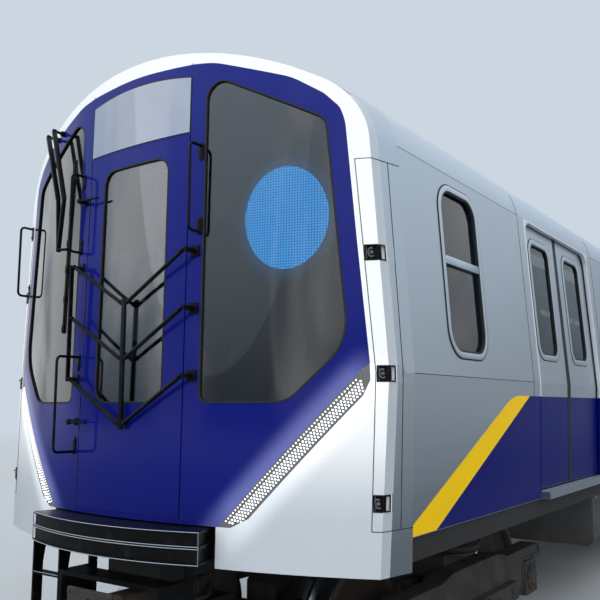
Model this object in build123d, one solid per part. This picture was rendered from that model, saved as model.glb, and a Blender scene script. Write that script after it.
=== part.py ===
from build123d import *
import math
import os

os.makedirs("parts", exist_ok=True)

# A metro cab car. Lengths are millimetres. The cab faces -Y and +Z is up. Heights are measured
# from the rail head while modelling; write() lifts everything by the flange depth, so the wheels
# stand on zero. Y is measured from the middle of the car.

# Overall sizes: half the length over the coupler faces, half the width at the waist, and height
half_length = 9175.0
waist_half = 1490.0
roof_height = 3720.0

# Cross-section of the body
sill_half = waist_half - 30.0
cant_half = waist_half - 75.0
skirt_height = 1120.0
waist_height = 1907.0
cant_height = 3080.0
roof_radius = 2330.0
roof_corner = 400.0
roof_split = 1000.0
wall = 95.0
roof_wall = 60.0

# Clearances: between pieces that seat, round a pivot pin, and round a pane
seat_gap = 0.3
pin_gap = 0.5
glass_gap = 0.4

# Rounded cab front: a shallow cylinder that leans back, drawn in at the sides
nose = 210.0 - half_length
nose_radius = 3250.0
nose_lean = 0.8
nose_base = 1157.0
mask_wall = 50.0
mask_skirt = 960.0
cab_taper = 135.0
cab_taper_length = 600.0
cab_lining = 45.0
corner_panel_inner = 625.0

# Lengths of the body
body_front = nose + 535.0
body_rear = half_length - 195.0
end_wall = 80.0
end_inside = body_rear - end_wall

# Floor and underframe
floor_height = 1165.0
floor_plate = 60.0
floor_under = floor_height - floor_plate
underframe_bottom = 1000.0
bolster_bottom = 960.0
bolster_half = 260.0
beam_half = waist_half - 240.0
member_count = 9
member_half = 40.0
member_clearance = 522.0
draft_half = 200.0

# Doorways and sliding leaves. An open leaf stays leaf_proud inside its doorway.
door_count = 4
door_half = 810.0
door_first = nose + 3245.0
door_last = body_rear - 2400.0
door_pitch = (door_last - door_first) / (door_count - 1)
leaf_outer = 40.0
leaf_inner = 75.0
leaf_seal = 3.0
leaf_overlap = 30.0
leaf_proud = 73.5
leaf_travel = door_half - leaf_proud
leaf_lift = 10.0
pocket_room = 8.0
pocket_end = 13.5
pocket_depth = leaf_overlap + leaf_travel + pocket_end
track_height = 40.0
sill_lip = waist_half + 35.0

# Windows: height of the middle, width, height and corner radius
cab_window = dict(z=2510.0, width=495.0, height=940.0, corner=130.0)
cab_window_y = nose + 1253.0
saloon_window = dict(z=2450.0, width=760.0, height=860.0, corner=110.0)
leaf_window = dict(z=2530.0, width=440.0, height=850.0, corner=55.0)
rear_window = dict(z=2430.0, width=500.0, height=860.0, corner=90.0)
rear_window_x = 860.0
pane_depth = 20.0
pane_thick = 8.0
rebate = 12.0

# Front door, the sign over it, and the windscreens beside it
door_strip_half = 410.0
front_door_gap = 8.0
front_door_bottom = 1185.0
front_door_top = 3212.0
front_pane_depth = 10.0
sign_half = door_strip_half - 14.0
sign_bottom = 3232.0
sign_top = 3545.0
screen_inner = door_strip_half + 97.0
screen_corner = 45.0
light_depth = 30.0

# Cab partition, its door, and the door of the rear end
partition_front = nose + 1585.0
partition_thick = 40.0
partition_back = partition_front + partition_thick
inner_door_top = 3100.0
cab_door_x = 150.0
cab_door_half = 310.0
rear_door_half = 390.0
rear_door_thick = 40.0
flat_door_gap = 8.0
ceiling_height = 3250.0

# Long hinges of the swinging doors. The pin stands hinge_set behind the face it turns beside.
hinge_set = 14.0
hinge_pin = 5.0
knuckle_half = 9.0
hinge_ear = 30.0

# Folding gate in front of the door
gate_y = nose - 20.0
gate_pivot_x = door_strip_half + 45.0
gate_levels = [2558.0, 2252.0, 1900.0]
gate_drop = 248.0
gate_tube = 11.0
gate_lug = 12.0
gate_pin = 6.0
post_half_width = 14.0
post_half_depth = 9.0
post_pin = 4.5

# Running gear
truck_offset = half_length - 2380.0
axle_spacing = 2082.0
wheel_radius = 432.0
flange_depth = 28.0
wheel_back = 680.0
wheel_front = 815.0
axle_radius = 80.0
journal_radius = 65.0
journal_start = 940.0
journal_end = 1020.0
side_frame_in = 960.0
side_frame_out = 1090.0
pedestal_height = wheel_radius + 143.0
transom_bottom = wheel_radius + 128.0
transom_top = wheel_radius + 328.0
transom_half = 230.0
spring_radius = 200.0
centre_pin = 90.0

# Couplers and the beams over them
coupler_height = 710.0
coupler_pivot = half_length - 875.0
coupler_pin = 35.0
shank_half = 65.0
coupler_head_half = 115.0
ear_room = 10.0
ear_thick = 35.0
beam_seat = nose + 105.0
beam_bottom = 993.0
beam_top = 1150.0
beam_corner = 640.0

door_centres = [door_first + index * door_pitch for index in range(door_count)]
side_slope_low = (waist_half - sill_half) / (waist_height - skirt_height)
side_slope_high = (cant_half - waist_half) / (cant_height - waist_height)
nose_centre = nose + nose_radius
mask_back = nose_radius - mask_wall
far = 6000.0


def side_x(height):
    """Half width of the body's outer skin at a height."""
    if height < waist_height:
        return waist_half + (height - waist_height) * side_slope_low
    return waist_half + (height - waist_height) * side_slope_high


def nose_y(x, height):
    """Y of the cab front's outer surface at a place across and a height."""
    lean = math.radians(nose_lean)
    back = (height - nose_base) * math.tan(lean)
    return nose_centre + back - math.sqrt(nose_radius**2 - x**2) / math.cos(lean)


def foot_y(x, height, radius):
    """Y at which a foot of a given half width just clears the curved front."""
    return nose_y(abs(x) - radius, height - radius) - seat_gap


def on_nose(x, height):
    """A frame on the cab front whose -Y looks straight out of the surface."""
    turn = math.degrees(math.asin(x / nose_radius))
    return Pos(x, nose_y(x, height), height) * Rot(Z=turn) * Rot(X=-nose_lean)


def block(x0, x1, y0, y1, z0, z1):
    """A box between two corners."""
    centre = Pos((x0 + x1) / 2, (y0 + y1) / 2, (z0 + z1) / 2)
    return centre * Box(abs(x1 - x0), abs(y1 - y0), abs(z1 - z0))


def along(section, y0, y1):
    """Extrude an X-Z section from y0 to y1."""
    return extrude(Plane.XZ.offset(-y0) * section, amount=-(y1 - y0))


def across(section, x0, x1):
    """Extrude a Y-Z section from x0 to x1."""
    return extrude(Plane.YZ.offset(x0) * section, amount=x1 - x0)


def upward(section, z0, z1):
    """Extrude a plan section from z0 to z1."""
    return extrude(Plane.XY.offset(z0) * section, amount=z1 - z0)


def outline(points):
    """A closed flat face through the points."""
    return make_face(Polyline(*points, close=True))


def grown(face, amount):
    """The face with its edges moved out, its corners left sharp."""
    return offset(face, amount=amount, kind=Kind.INTERSECTION)


def mirrored(shape):
    """The same shape on the other side of the car."""
    return mirror(shape, about=Plane.YZ)


def bar_section(radius):
    """Section of a slim bar: eight sides, because so many round ones would be heavy."""
    return RegularPolygon(radius, 8)


def bar(start, end, radius):
    """A straight slim bar between two points."""
    line = Vector(*end) - Vector(*start)
    return extrude(Plane(origin=start, z_dir=line) * bar_section(radius), amount=line.length)


def strap(start, end, width, thick):
    """A straight flat bar between two points, with its broad side towards the front."""
    line = Vector(*end) - Vector(*start)
    plane = Plane(origin=start, x_dir=Vector(0, 1, 0).cross(line), z_dir=line)
    return extrude(plane * Rectangle(width, thick), amount=line.length)


def pivot(x, y, z, radius, length):
    """A round pin across the car."""
    return Pos(x, y, z) * Rot(Y=90) * Cylinder(radius, length)


def body_section(inset, drop, bottom, narrow=0.0):
    """Cross-section of the body: leaning sides below a vaulted roof."""
    radius = roof_radius - drop
    centre = roof_height - roof_radius
    shift = inset + narrow
    # The side line is carried on until it meets the roof arc.
    x0 = waist_half - shift - waist_height * side_slope_high
    a = side_slope_high**2 + 1
    b = 2 * (x0 * side_slope_high - centre)
    c = x0**2 + centre**2 - radius**2
    corner_z = (-b + math.sqrt(b * b - 4 * a * c)) / (2 * a)
    corner_x = x0 + corner_z * side_slope_high
    low_x = side_x(bottom) - shift
    waist_x = waist_half - shift
    edges = [
        Line((-low_x, bottom), (low_x, bottom)),
        Line((low_x, bottom), (waist_x, waist_height)),
        Line((waist_x, waist_height), (corner_x, corner_z)),
        ThreePointArc((corner_x, corner_z), (0, centre + radius), (-corner_x, corner_z)),
        Line((-corner_x, corner_z), (-waist_x, waist_height)),
        Line((-waist_x, waist_height), (-low_x, bottom)),
    ]
    face = make_face(edges)
    corners = face.vertices().filter_by(lambda v: v.Y > cant_height)
    return fillet(corners, radius=roof_corner - drop)


def side_slab(outer, inner, z0, z1, y0, y1):
    """A slab between two depths in the +X side wall, following its lean."""
    heights = [z0, waist_height, z1] if z0 < waist_height < z1 else [z0, z1]
    skin = [(side_x(z) - outer, z) for z in heights]
    lining = [(side_x(z) - inner, z) for z in reversed(heights)]
    return along(outline(skin + lining), y0, y1)


def window_face(window):
    """The rounded outline of a window about its own middle."""
    return RectangleRounded(window["width"], window["height"], window["corner"])


def rebate_face(window, gap=0.0):
    """The square seat behind a window, or with a gap the pane that sits in it."""
    grow = 2 * (rebate - gap)
    return Rectangle(window["width"] + grow, window["height"] + grow)


def in_side(face, window, y):
    """A window's outline carried across the +X side wall."""
    return across(Pos(y, window["z"]) * face, cant_half - 300, waist_half + 100)


def nose_cylinder(radius):
    """An upright cylinder round the nose's centre, leaning back with the front."""
    return Pos(0, nose_centre, nose_base) * Rot(X=-nose_lean) * Cylinder(radius, far)


def nose_shell(depth0, depth1):
    """The front half of a thin shell between two depths under the front's surface."""
    shell = nose_cylinder(nose_radius - depth0) - nose_cylinder(nose_radius - depth1)
    return shell & block(-far, far, nose - 300, body_front, 0, far)


def through_nose(face):
    """A front-view outline carried through the nose."""
    return along(face, nose - 200, body_front)


def cab_loft(inset, drop):
    """The cab's outer form, its sides drawn in towards the front and longer than the nose."""
    back = Plane.XZ.offset(-body_front) * body_section(inset, drop, mask_skirt)
    tip = body_front - cab_taper_length
    front = Plane.XZ.offset(-tip) * body_section(inset, drop, mask_skirt, cab_taper)
    return loft([back, front], ruled=True)


def cab_form():
    """The cab's outer form with its plain vault kept straight."""
    tip = body_front - cab_taper_length
    middle = body_section(0, 0, mask_skirt) & Pos(0, roof_height) * Rectangle(2 * roof_split, roof_height)
    sides = cab_loft(0, 0) - block(-roof_split, roof_split, tip - 10, body_front + 10, roof_height / 2, far)
    return sides + along(middle, tip, body_front)


def cab_ring():
    """The cab's outer form, hollowed straight through behind the mask."""
    hollow = body_section(wall + cab_lining, roof_wall, mask_skirt)
    return cab_form() - along(hollow, body_front - cab_taper_length - 10, body_front + 10)


def fixed_hinge(place, z0, z1):
    """The pin of a long hinge at the origin, between two ears on a frame at its +X side."""
    pin = Pos(0, 0, (z0 + z1) / 2) * Cylinder(hinge_pin, z1 - z0 + hinge_ear)
    for z in (z0, z1 + hinge_ear):
        pin += block(-knuckle_half, knuckle_half, -knuckle_half, knuckle_half, z - hinge_ear, z)
        pin += block(5, 60, -hinge_set - 10, -6, z - hinge_ear, z)
    return place * pin


def moving_hinge(place, z0, z1):
    """The bored strip of the same hinge, on a door at its -X side."""
    z0 += 1
    z1 -= 1
    strip = block(-knuckle_half, knuckle_half, -knuckle_half, knuckle_half, z0, z1)
    strip += block(-60, -5, -hinge_set - 10, -6, z0, z1)
    return place * (strip - Pos(0, 0, (z0 + z1) / 2) * Cylinder(hinge_pin + seat_gap, z1 - z0 + 2))


def front_hinge():
    """Place and ends of the front door's hinge, leaning with the blue face."""
    half = door_strip_half - front_door_gap
    inner = nose_centre - math.sqrt(mask_back**2 - half**2)
    place = Pos(half + front_door_gap / 2, inner + hinge_set, nose_base) * Rot(X=-nose_lean)
    return place, 200, 1900


def cab_hinge():
    """Place and ends of the cab door's hinge."""
    x = cab_door_x + cab_door_half - flat_door_gap / 2
    return Pos(x, partition_back + hinge_set, 0), 1400, 2900


def rear_hinge():
    """Place and ends of the rear door's hinge, turned to swing forwards."""
    x = flat_door_gap / 2 - rear_door_half
    return Pos(x, end_inside - hinge_set, 0) * Rot(Z=180), 1400, 2900


# Body shell


def floor_frame():
    """Floor, side sills, cross-members, bolsters, draft sills and door sills in one."""
    half = side_x(skirt_height) - wall
    frame = block(-half, half, body_front, end_inside, floor_under, floor_height)
    cab_half = waist_half - 260
    cab_floor = block(-cab_half, cab_half, beam_seat, body_front, underframe_bottom, floor_height)
    frame += cab_floor & nose_cylinder(mask_back - 1)
    for side in (-1, 1):
        sill = (side * beam_half, side * (sill_half - 20))
        frame += block(*sill, body_front + 2, end_inside, underframe_bottom, skirt_height)
    reach = truck_offset - axle_spacing / 2 - wheel_radius - member_clearance
    for index in range(member_count):
        y = reach * (2 * index / (member_count - 1) - 1)
        span = (y - member_half, y + member_half)
        frame += block(-beam_half, beam_half, *span, underframe_bottom, floor_under)
    for end in (-1, 1):
        y = end * truck_offset
        span = (y - bolster_half, y + bolster_half)
        frame += block(-beam_half, beam_half, *span, bolster_bottom, floor_under)
        pin_length = bolster_bottom - transom_bottom - 20
        frame += Pos(0, y, bolster_bottom - pin_length / 2) * Cylinder(centre_pin, pin_length)
        frame += draft_sill(end)
    for y in door_centres:
        for side in (-1, 1):
            step = (side * (half - 5), side * sill_lip)
            span = (y - door_half + 1, y + door_half - 1)
            frame += block(*step, *span, skirt_height, floor_height)
    return frame


def draft_sill(end):
    """The box under an end, with two ears and the pin that carry the coupler."""
    tip = beam_seat if end < 0 else end_inside
    top = coupler_height + shank_half + ear_room + ear_thick
    bottom = coupler_height - shank_half - ear_room - ear_thick
    root = end * (coupler_pivot - 130)
    sill = block(-draft_half, draft_half, end * (truck_offset + 505), tip, top, floor_under)
    for z in (top - ear_thick, bottom):
        sill += block(-110, 110, root, end * (coupler_pivot + 90), z, z + ear_thick)
    sill += block(-110, 110, end * (coupler_pivot - 170), root, bottom, top)
    return sill + Pos(0, end * coupler_pivot, coupler_height) * Cylinder(coupler_pin, top - bottom - 20)


def side_panels():
    """Five wall panels of the +X side, with door pockets and windows."""
    starts = [body_front] + [y + door_half for y in door_centres]
    ends = [y - door_half for y in door_centres] + [end_inside]
    panels = []
    for index, (y0, y1) in enumerate(zip(starts, ends)):
        panel = side_slab(0, wall, skirt_height, cant_height, y0, y1)
        pockets = []
        if index > 0:
            pockets.append((y0 - 10, y0 + pocket_depth))
        if index < door_count:
            pockets.append((y1 - pocket_depth, y1 + 10))
        for pocket in pockets:
            depths = (leaf_outer - pocket_room, leaf_inner + pocket_room)
            panel -= side_slab(*depths, floor_height, cant_height + 10, *pocket)
        if index < door_count:
            window = cab_window if index == 0 else saloon_window
            y = cab_window_y if index == 0 else (y0 + y1) / 2
            panel -= in_side(window_face(window), window, y)
            seat = in_side(rebate_face(window), window, y)
            panel -= seat & side_slab(pane_depth, wall + 50, waist_height, cant_height, y0, y1)
        panels.append(panel)
    return panels


def body_ring():
    """The section of the roof and shoulders, above the cant height."""
    ring = body_section(0, 0, skirt_height) - body_section(wall, roof_wall, skirt_height)
    return ring & Pos(0, cant_height + far / 2) * Rectangle(far, far)


def cant_rails():
    """The rounded shoulders over the doors, with a track for the leaves."""
    ring = body_ring() & Pos(roof_split + far / 2, cant_height) * Rectangle(far, far)
    rail = along(ring, body_front, end_inside)
    for y in door_centres:
        reach = door_half + pocket_depth
        depths = (leaf_outer - seat_gap, leaf_inner + seat_gap)
        rail -= side_slab(*depths, cant_height - 10, cant_height + track_height, y - reach, y + reach)
    return [rail, mirrored(rail)]


def roof():
    """The middle of the vaulted roof."""
    ring = body_ring() & Pos(0, cant_height) * Rectangle(2 * roof_split, far)
    return along(ring, body_front, end_inside)


def ceiling():
    """A flat ceiling between the shoulders."""
    section = body_section(wall + seat_gap, roof_wall, skirt_height)
    section &= Pos(0, ceiling_height + 10) * Rectangle(far, 20)
    return along(section, body_front, end_inside)


def ceiling_lights():
    """Two long light boxes under the ceiling."""
    ends = (partition_back + 40, end_inside - 100)
    return [block(side * 620, side * 760, *ends, ceiling_height - 28, ceiling_height) for side in (-1, 1)]


def bracket_notches(shrink):
    """Boxes at the corners where the hook brackets sit, three a side."""
    boxes = []
    # Height of the middle, and how far the inner edge lies inside the waist
    for height, inside in ((2490, 147), (1900, 95), (1297, 114)):
        x = (waist_half - inside + shrink, waist_half + 50)
        z = (height - 40 + shrink, height + 40 - shrink)
        box = block(*x, nose + 165, nose + 465, *z)
        boxes += [box, mirrored(box)]
    return boxes


def cab_shell():
    """The cab's tapering sides and roof, behind the mask."""
    shell = cab_ring() & nose_cylinder(mask_back - 0.5)
    for notch in bracket_notches(0):
        shell -= notch
    return shell


def windscreen_outline():
    """One windscreen as seen from the front, with its cut lower corner."""
    return outline([
        (screen_inner, 1766), (screen_inner, 3440), (screen_inner + 83, 3500), (waist_half - 325, 3200),
        (waist_half - 222, 2080), (waist_half - 270, 2000), (waist_half - 505, 1766),
    ])


def light_outline():
    """One slanting light strip as seen from the front."""
    foot = corner_panel_inner + 7
    return outline([
        (foot, 1157), (foot + 73, 1157), (foot + 168, 1205), (waist_half - 155, 1795),
        (waist_half - 122, 1870), (waist_half - 125, 1950), (waist_half - 155, 1925),
    ])


def sign_outline(gap=0.0):
    """The sign over the door as seen from the front."""
    height = sign_top - sign_bottom - 2 * gap
    return Pos(0, (sign_bottom + sign_top) / 2) * Rectangle(2 * (sign_half - gap), height)


def door_window_outline():
    """The window of the front door as seen from the front."""
    half = door_strip_half - 145
    return outline([(-half, 1766), (half, 1766), (half - 3, 3112), (3 - half, 3112)])


def rounded(face, radius):
    """The face with every corner rounded."""
    return fillet(face.vertices(), radius=radius)


def front_mask():
    """The rounded front: white rim, blue face and silver corners."""
    mask = cab_form() & nose_shell(0, mask_wall)
    mask -= block(-corner_panel_inner, corner_panel_inner, nose - 200, body_front, 0, nose_base)
    doorway = (front_door_bottom - 8, front_door_top + 6)
    mask -= block(-door_strip_half, door_strip_half, nose - 200, body_front, *doorway)
    mask -= through_nose(sign_outline())
    screen = through_nose(rounded(windscreen_outline(), screen_corner))
    screen += through_nose(grown(windscreen_outline(), rebate)) & nose_shell(front_pane_depth, mask_wall + 10)
    mask -= [screen, mirrored(screen)]
    strip = through_nose(light_outline()) & nose_shell(-5, light_depth)
    mask -= [strip, mirrored(strip)]
    for notch in bracket_notches(0):
        mask -= notch
    return mask + fixed_hinge(*front_hinge())


def front_glass():
    """Both windscreens and the sign's cover."""
    shell = nose_shell(front_pane_depth, front_pane_depth + pane_thick)
    screen = through_nose(grown(windscreen_outline(), rebate - glass_gap)) & shell
    sign = through_nose(sign_outline(glass_gap)) & nose_shell(2, 2 + pane_thick)
    return [screen, mirrored(screen), sign]


def light_strips():
    """The slanting light housings."""
    strip = through_nose(grown(light_outline(), -glass_gap)) & nose_shell(0, light_depth)
    return [strip, mirrored(strip)]


def corner_brackets():
    """Dark blocks let into the corners, flush with the bottom of their notches."""
    inner = cab_loft(22, 22) & nose_cylinder(nose_radius - 22)
    solid = cab_ring() + nose_shell(22, mask_wall)
    return [notch & inner & solid for notch in bracket_notches(seat_gap)]


def body_glass():
    """All fixed panes of the sides and the rear end."""
    panes = []
    depths = (pane_depth, pane_depth + pane_thick)
    slab = side_slab(*depths, waist_height, cant_height, body_front, end_inside)
    places = [(cab_window, cab_window_y)]
    places += [(saloon_window, y + door_pitch / 2) for y in door_centres[:-1]]
    for window, y in places:
        pane = slab & in_side(rebate_face(window, glass_gap), window, y)
        panes += [pane, mirrored(pane)]
    for side in (-1, 1):
        face = Pos(side * rear_window_x, rear_window["z"]) * rebate_face(rear_window, glass_gap)
        panes.append(along(face, body_rear - pane_depth - pane_thick, body_rear - pane_depth))
    return panes


def rear_end_wall():
    """The flat rear end with a doorway and two windows."""
    bottom = floor_height + 8
    top = inner_door_top + 50
    face = body_section(0, 0, skirt_height)
    face -= Pos(0, (bottom + top) / 2) * Rectangle(2 * rear_door_half, top - bottom)
    end = along(face, end_inside, body_rear)
    for side in (-1, 1):
        place = Pos(side * rear_window_x, rear_window["z"])
        end -= along(place * window_face(rear_window), end_inside - 10, body_rear + 10)
        end -= along(place * rebate_face(rear_window), end_inside - 10, body_rear - pane_depth)
    return end + fixed_hinge(*rear_hinge())


# Cab and saloon


def cab_partition():
    """The wall behind the cab, with a doorway."""
    section = body_section(wall + seat_gap, roof_wall, skirt_height)
    section &= Pos(0, (floor_height + ceiling_height) / 2) * Rectangle(far, ceiling_height - floor_height)
    doorway = Rectangle(2 * cab_door_half, inner_door_top - floor_height)
    section -= Pos(cab_door_x, (floor_height + inner_door_top) / 2) * doorway
    return along(section, partition_front, partition_back) + fixed_hinge(*cab_hinge())


def driver_desk_sides():
    """Both sides of the desk across the car, between the door strip and the cab wall."""
    return 340 - waist_half, 80 - door_strip_half


def driver_console():
    """The desk on the driver's side, sloping towards the seat."""
    # Distance behind the nose and height above the floor
    profile = [(405, 0), (405, 825), (635, 795), (885, 725), (885, 665), (635, 535), (635, 0)]
    section = outline([(nose + back, floor_height + up) for back, up in profile])
    return across(section, *driver_desk_sides())


def driver_seat():
    """Seat with a raked back on a pedestal."""
    # Distance behind the nose and height above the floor
    profile = [(985, 380), (1435, 380), (1500, 1050), (1440, 1060), (1360, 470), (985, 470)]
    middle = sum(driver_desk_sides()) / 2
    section = outline([(nose + back, floor_height + up) for back, up in profile])
    seat = across(section, middle - 230, middle + 230)
    pedestal = (nose + 1150, nose + 1290)
    return seat + block(middle - 70, middle + 70, *pedestal, floor_height, floor_height + 390)


def benches():
    """Lengthwise benches between the doorways, following the wall."""
    # Height above the floor, and distance from the lining
    profile = [(130, 0), (785, 0), (785, 35), (475, 55), (435, 460), (400, 470), (335, 300), (130, 260)]
    section = outline([
        (side_x(floor_height + up) - wall - seat_gap - out, floor_height + up) for up, out in profile
    ])
    seats = []
    for y0, y1 in zip(door_centres[:-1], door_centres[1:]):
        seat = along(section, y0 + door_half + 190, y1 - door_half - 190)
        seats += [seat, mirrored(seat)]
    return seats


def stanchions():
    """Floor-to-ceiling poles, two along the middle of each bay."""
    poles = []
    for y0, y1 in zip(door_centres[:-1], door_centres[1:]):
        for y in (y0 + door_half + 190, y1 - door_half - 190):
            poles.append(bar((0, y, floor_height), (0, y, ceiling_height), 18))
    return poles


# Doors


def door_leaf(y_centre, end):
    """One bent sliding leaf with its window; end is -1 for the front one."""
    ends = [y_centre + end * leaf_seal, y_centre + end * (door_half + leaf_overlap)]
    heights = (floor_height + leaf_lift, cant_height + track_height - leaf_lift)
    leaf = side_slab(leaf_outer, leaf_inner, *heights, min(ends), max(ends))
    # Straight-cut corners, because sixteen rounded windows would be heavy.
    window = Rectangle(leaf_window["width"], leaf_window["height"])
    window = chamfer(window.vertices(), leaf_window["corner"])
    return leaf - in_side(window, leaf_window, y_centre + end * door_half / 2)


def front_door():
    """The rounded door in the middle of the front."""
    half = door_strip_half - front_door_gap
    strip = block(-half, half, nose - 200, body_front, front_door_bottom, front_door_top)
    door = strip & nose_shell(0, mask_wall)
    door -= through_nose(rounded(door_window_outline(), 85))
    door -= through_nose(grown(door_window_outline(), rebate)) & nose_shell(front_pane_depth, mask_wall + 10)
    return door + moving_hinge(*front_hinge())


def front_door_glass():
    """The pane of the front door."""
    shell = nose_shell(front_pane_depth, front_pane_depth + pane_thick)
    return through_nose(grown(door_window_outline(), rebate - glass_gap)) & shell


def flat_door_face(x, half, top, window):
    """A flat door's outline, gaps left all round, with a rounded window."""
    bottom = floor_height + 2 * flat_door_gap
    face = Pos(x, (bottom + top) / 2) * Rectangle(2 * (half - flat_door_gap), top - flat_door_gap - bottom)
    return face - Pos(x, 2550) * window


def rear_door():
    """The flat door of the rear end."""
    face = flat_door_face(0, rear_door_half, inner_door_top + 50, RectangleRounded(440, 800, 80))
    return along(face, end_inside, end_inside + rear_door_thick) + moving_hinge(*rear_hinge())


def cab_door():
    """The door between cab and saloon."""
    face = flat_door_face(cab_door_x, cab_door_half, inner_door_top, Rectangle(300, 600))
    return along(face, partition_front, partition_back) + moving_hinge(*cab_hinge())


# Fittings outside


def anticlimbers():
    """Ribbed beams across both ends: a bowed one in front and a straight one behind."""
    corner_y = nose - 80
    plan = make_face([
        ThreePointArc((-beam_corner, corner_y), (0, nose - 195), (beam_corner, corner_y)),
        Line((beam_corner, corner_y), (beam_corner - 55, beam_seat)),
        Line((beam_corner - 55, beam_seat), (55 - beam_corner, beam_seat)),
        Line((55 - beam_corner, beam_seat), (-beam_corner, corner_y)),
    ])
    groove = offset(plan, amount=-12)
    rear_plan = (-beam_corner, beam_corner, body_rear)
    front = upward(plan, beam_bottom, beam_top)
    rear = block(*rear_plan, half_length - 20, beam_bottom, beam_top)
    # Heights between the three lips
    for z0, z1 in ((beam_bottom + 10, 1068), (1082, beam_top - 10)):
        front -= upward(plan, z0, z1) - upward(groove, z0, z1)
        rear -= block(-beam_corner, beam_corner, half_length - 32, half_length - 20, z0, z1)
    return [front, rear]


def end_steps():
    """A stirrup step under the front beam, and the frame that guards the coupler."""
    top = beam_bottom - seat_gap
    front = nose - 70
    leg = outline([
        (front, top), (front + 105, top), (front + 75, top - 50), (front + 62, top - 130),
        (front + 62, 600), (front, 600),
    ])
    step = across(leg, -640, -628) + across(leg, -412, -400)
    for z in (820, 640):
        step += block(-634, -406, front, front + 62, z - 12, z)
    guard = block(-385, 385, nose - 80, nose + 65, 835, 860)
    for side in (-1, 1):
        x = (side * 365, side * 385)
        guard += block(*x, nose - 80, nose + 165, 620, 860)
        guard += block(*x, beam_seat + 10, nose + 165, 850, underframe_bottom)
    return [step, guard]


def grab_handles():
    """Round grab bars on the front with mitred corners, each on two legs."""
    handles = []
    beside_door = door_strip_half + 75
    # Place across, height of both legs, and how far the bar stands off
    table = [
        (beside_door, 2660, 3135, 85),
        (-beside_door, 2660, 3135, 85),
        (-door_strip_half - 35, 1487, 2030, 145),
        (150 - waist_half, 2495, 2970, 85),
    ]
    for x, z0, z1, stand in table:
        y0 = foot_y(x, z0, 8)
        y1 = foot_y(x, z1, 8)
        front = min(y0, y1) - stand
        path = Polyline((x, y0, z0), (x, front, z0), (x, front, z1), (x, y1, z1))
        section = Plane(origin=path @ 0, z_dir=path % 0) * bar_section(8)
        handles.append(sweep(section, path=path, transition=Transition.RIGHT))
    return handles


def door_latches():
    """Two lever latches beside the front door, each on a round rose."""
    latches = []
    # Place across of the rose, height, and length of the lever
    for x, z, reach in ((-door_strip_half - 25, 2960, 175), (-door_strip_half - 25, 1657, 150)):
        rose = Pos(0, -9 - seat_gap, 0) * Rot(X=90) * Cylinder(22, 18)
        lever = block(-12, reach, -46, -34, -9, 9) + block(-9, 9, -40, -15, -9, 9)
        latches.append(on_nose(x, z) * (rose + lever))
    return latches


def wiper():
    """A parked wiper beside the front door: two flat arms from their spindles down to one long blade."""
    def off(beside, z, stand):
        x = -door_strip_half - beside
        return (x, nose_y(x, z) - stand, z)

    joint = off(230, 2690, 75)
    parts = []
    # Spindle and elbow of each arm: distance out from the door strip, and height
    for spindle, elbow in (((473, 3478), (265, 3011)), ((385, 3493), (187, 3001))):
        x = -door_strip_half - spindle[0]
        parts.append(bar((x, foot_y(x, spindle[1], 10), spindle[1]), off(*spindle, 88), 10))
        parts.append(strap(off(*spindle, 80), off(*elbow, 80), 26, 10))
        parts.append(strap(off(*elbow, 80), joint, 26, 10))
    blade_middle = off(165, 2690, 38)
    parts.append(strap(joint, blade_middle, 30, 14))
    parts.append(strap(off(146, 3253, 34), blade_middle, 14, 24))
    parts.append(strap(blade_middle, off(178, 2177, 34), 14, 24))
    arm = parts[0]
    for item in parts[1:]:
        arm += item
    return arm


# Gate in front of the door


def gate_arms(level):
    """A V of two tubes with bored lugs at the sides and a forked pin in the middle."""
    low = level - gate_drop
    end = gate_pivot_x - 6
    tube = bar((30, gate_y, low + 6), (gate_pivot_x, gate_y, level), gate_tube)
    tube -= block(end - gate_lug, far, gate_y - 50, gate_y + 50, level - 100, level + 100)
    lug = block(end - gate_lug, end, gate_y - 13, gate_y + 13, level - 13, level + 13)
    lug -= pivot(end, gate_y, level, gate_pin + pin_gap, 4 * gate_lug)
    cheek = block(post_half_width + 1, 34, gate_y - 8, gate_y + 8, low - 11, low + 20)
    half = tube + lug + cheek
    return half + mirrored(half) + pivot(0, gate_y, low, post_pin, 2 * (post_half_width + 6))


def gate_centre_post():
    """The flat upright that the three Vs carry."""
    sides = (-post_half_width, post_half_width, gate_y - post_half_depth, gate_y + post_half_depth)
    post = block(*sides, gate_levels[-1] - gate_drop - 30, gate_levels[0] - gate_drop + 30)
    for level in gate_levels:
        post -= pivot(0, gate_y, level - gate_drop, post_pin + pin_gap, 4 * post_half_width)
    return post


def gate_brackets():
    """Pivot pins of the gate: three plates on the +X side, one upright with two feet on the other."""
    pin_start = gate_pivot_x - 6 - gate_lug + pin_gap
    arm_x = (gate_pivot_x + 2, gate_pivot_x + 12)
    brackets = []
    pins = []
    feet = []
    for level in gate_levels:
        pin_end = arm_x[0] + 2
        pins.append(pivot((pin_start + pin_end) / 2, gate_y, level, gate_pin, pin_end - pin_start))
        plate = Pos(0, -4 - seat_gap, 0) * Box(56, 8, 60)
        arm = block(*arm_x, gate_y - 12, nose_y(gate_pivot_x, level) - 5, level - 12, level + 12)
        feet.append(on_nose(gate_pivot_x + 7, level) * plate + arm)
        brackets.append(feet[-1] + pins[-1])
    upright = block(arm_x[0], arm_x[1], gate_y - 12, gate_y + 12, gate_levels[-1] - 12, gate_levels[0] + 12)
    left = upright + feet[0] + feet[-1]
    for pin in pins:
        left += pin
    return brackets + [mirrored(left)]


# Running gear


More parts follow.
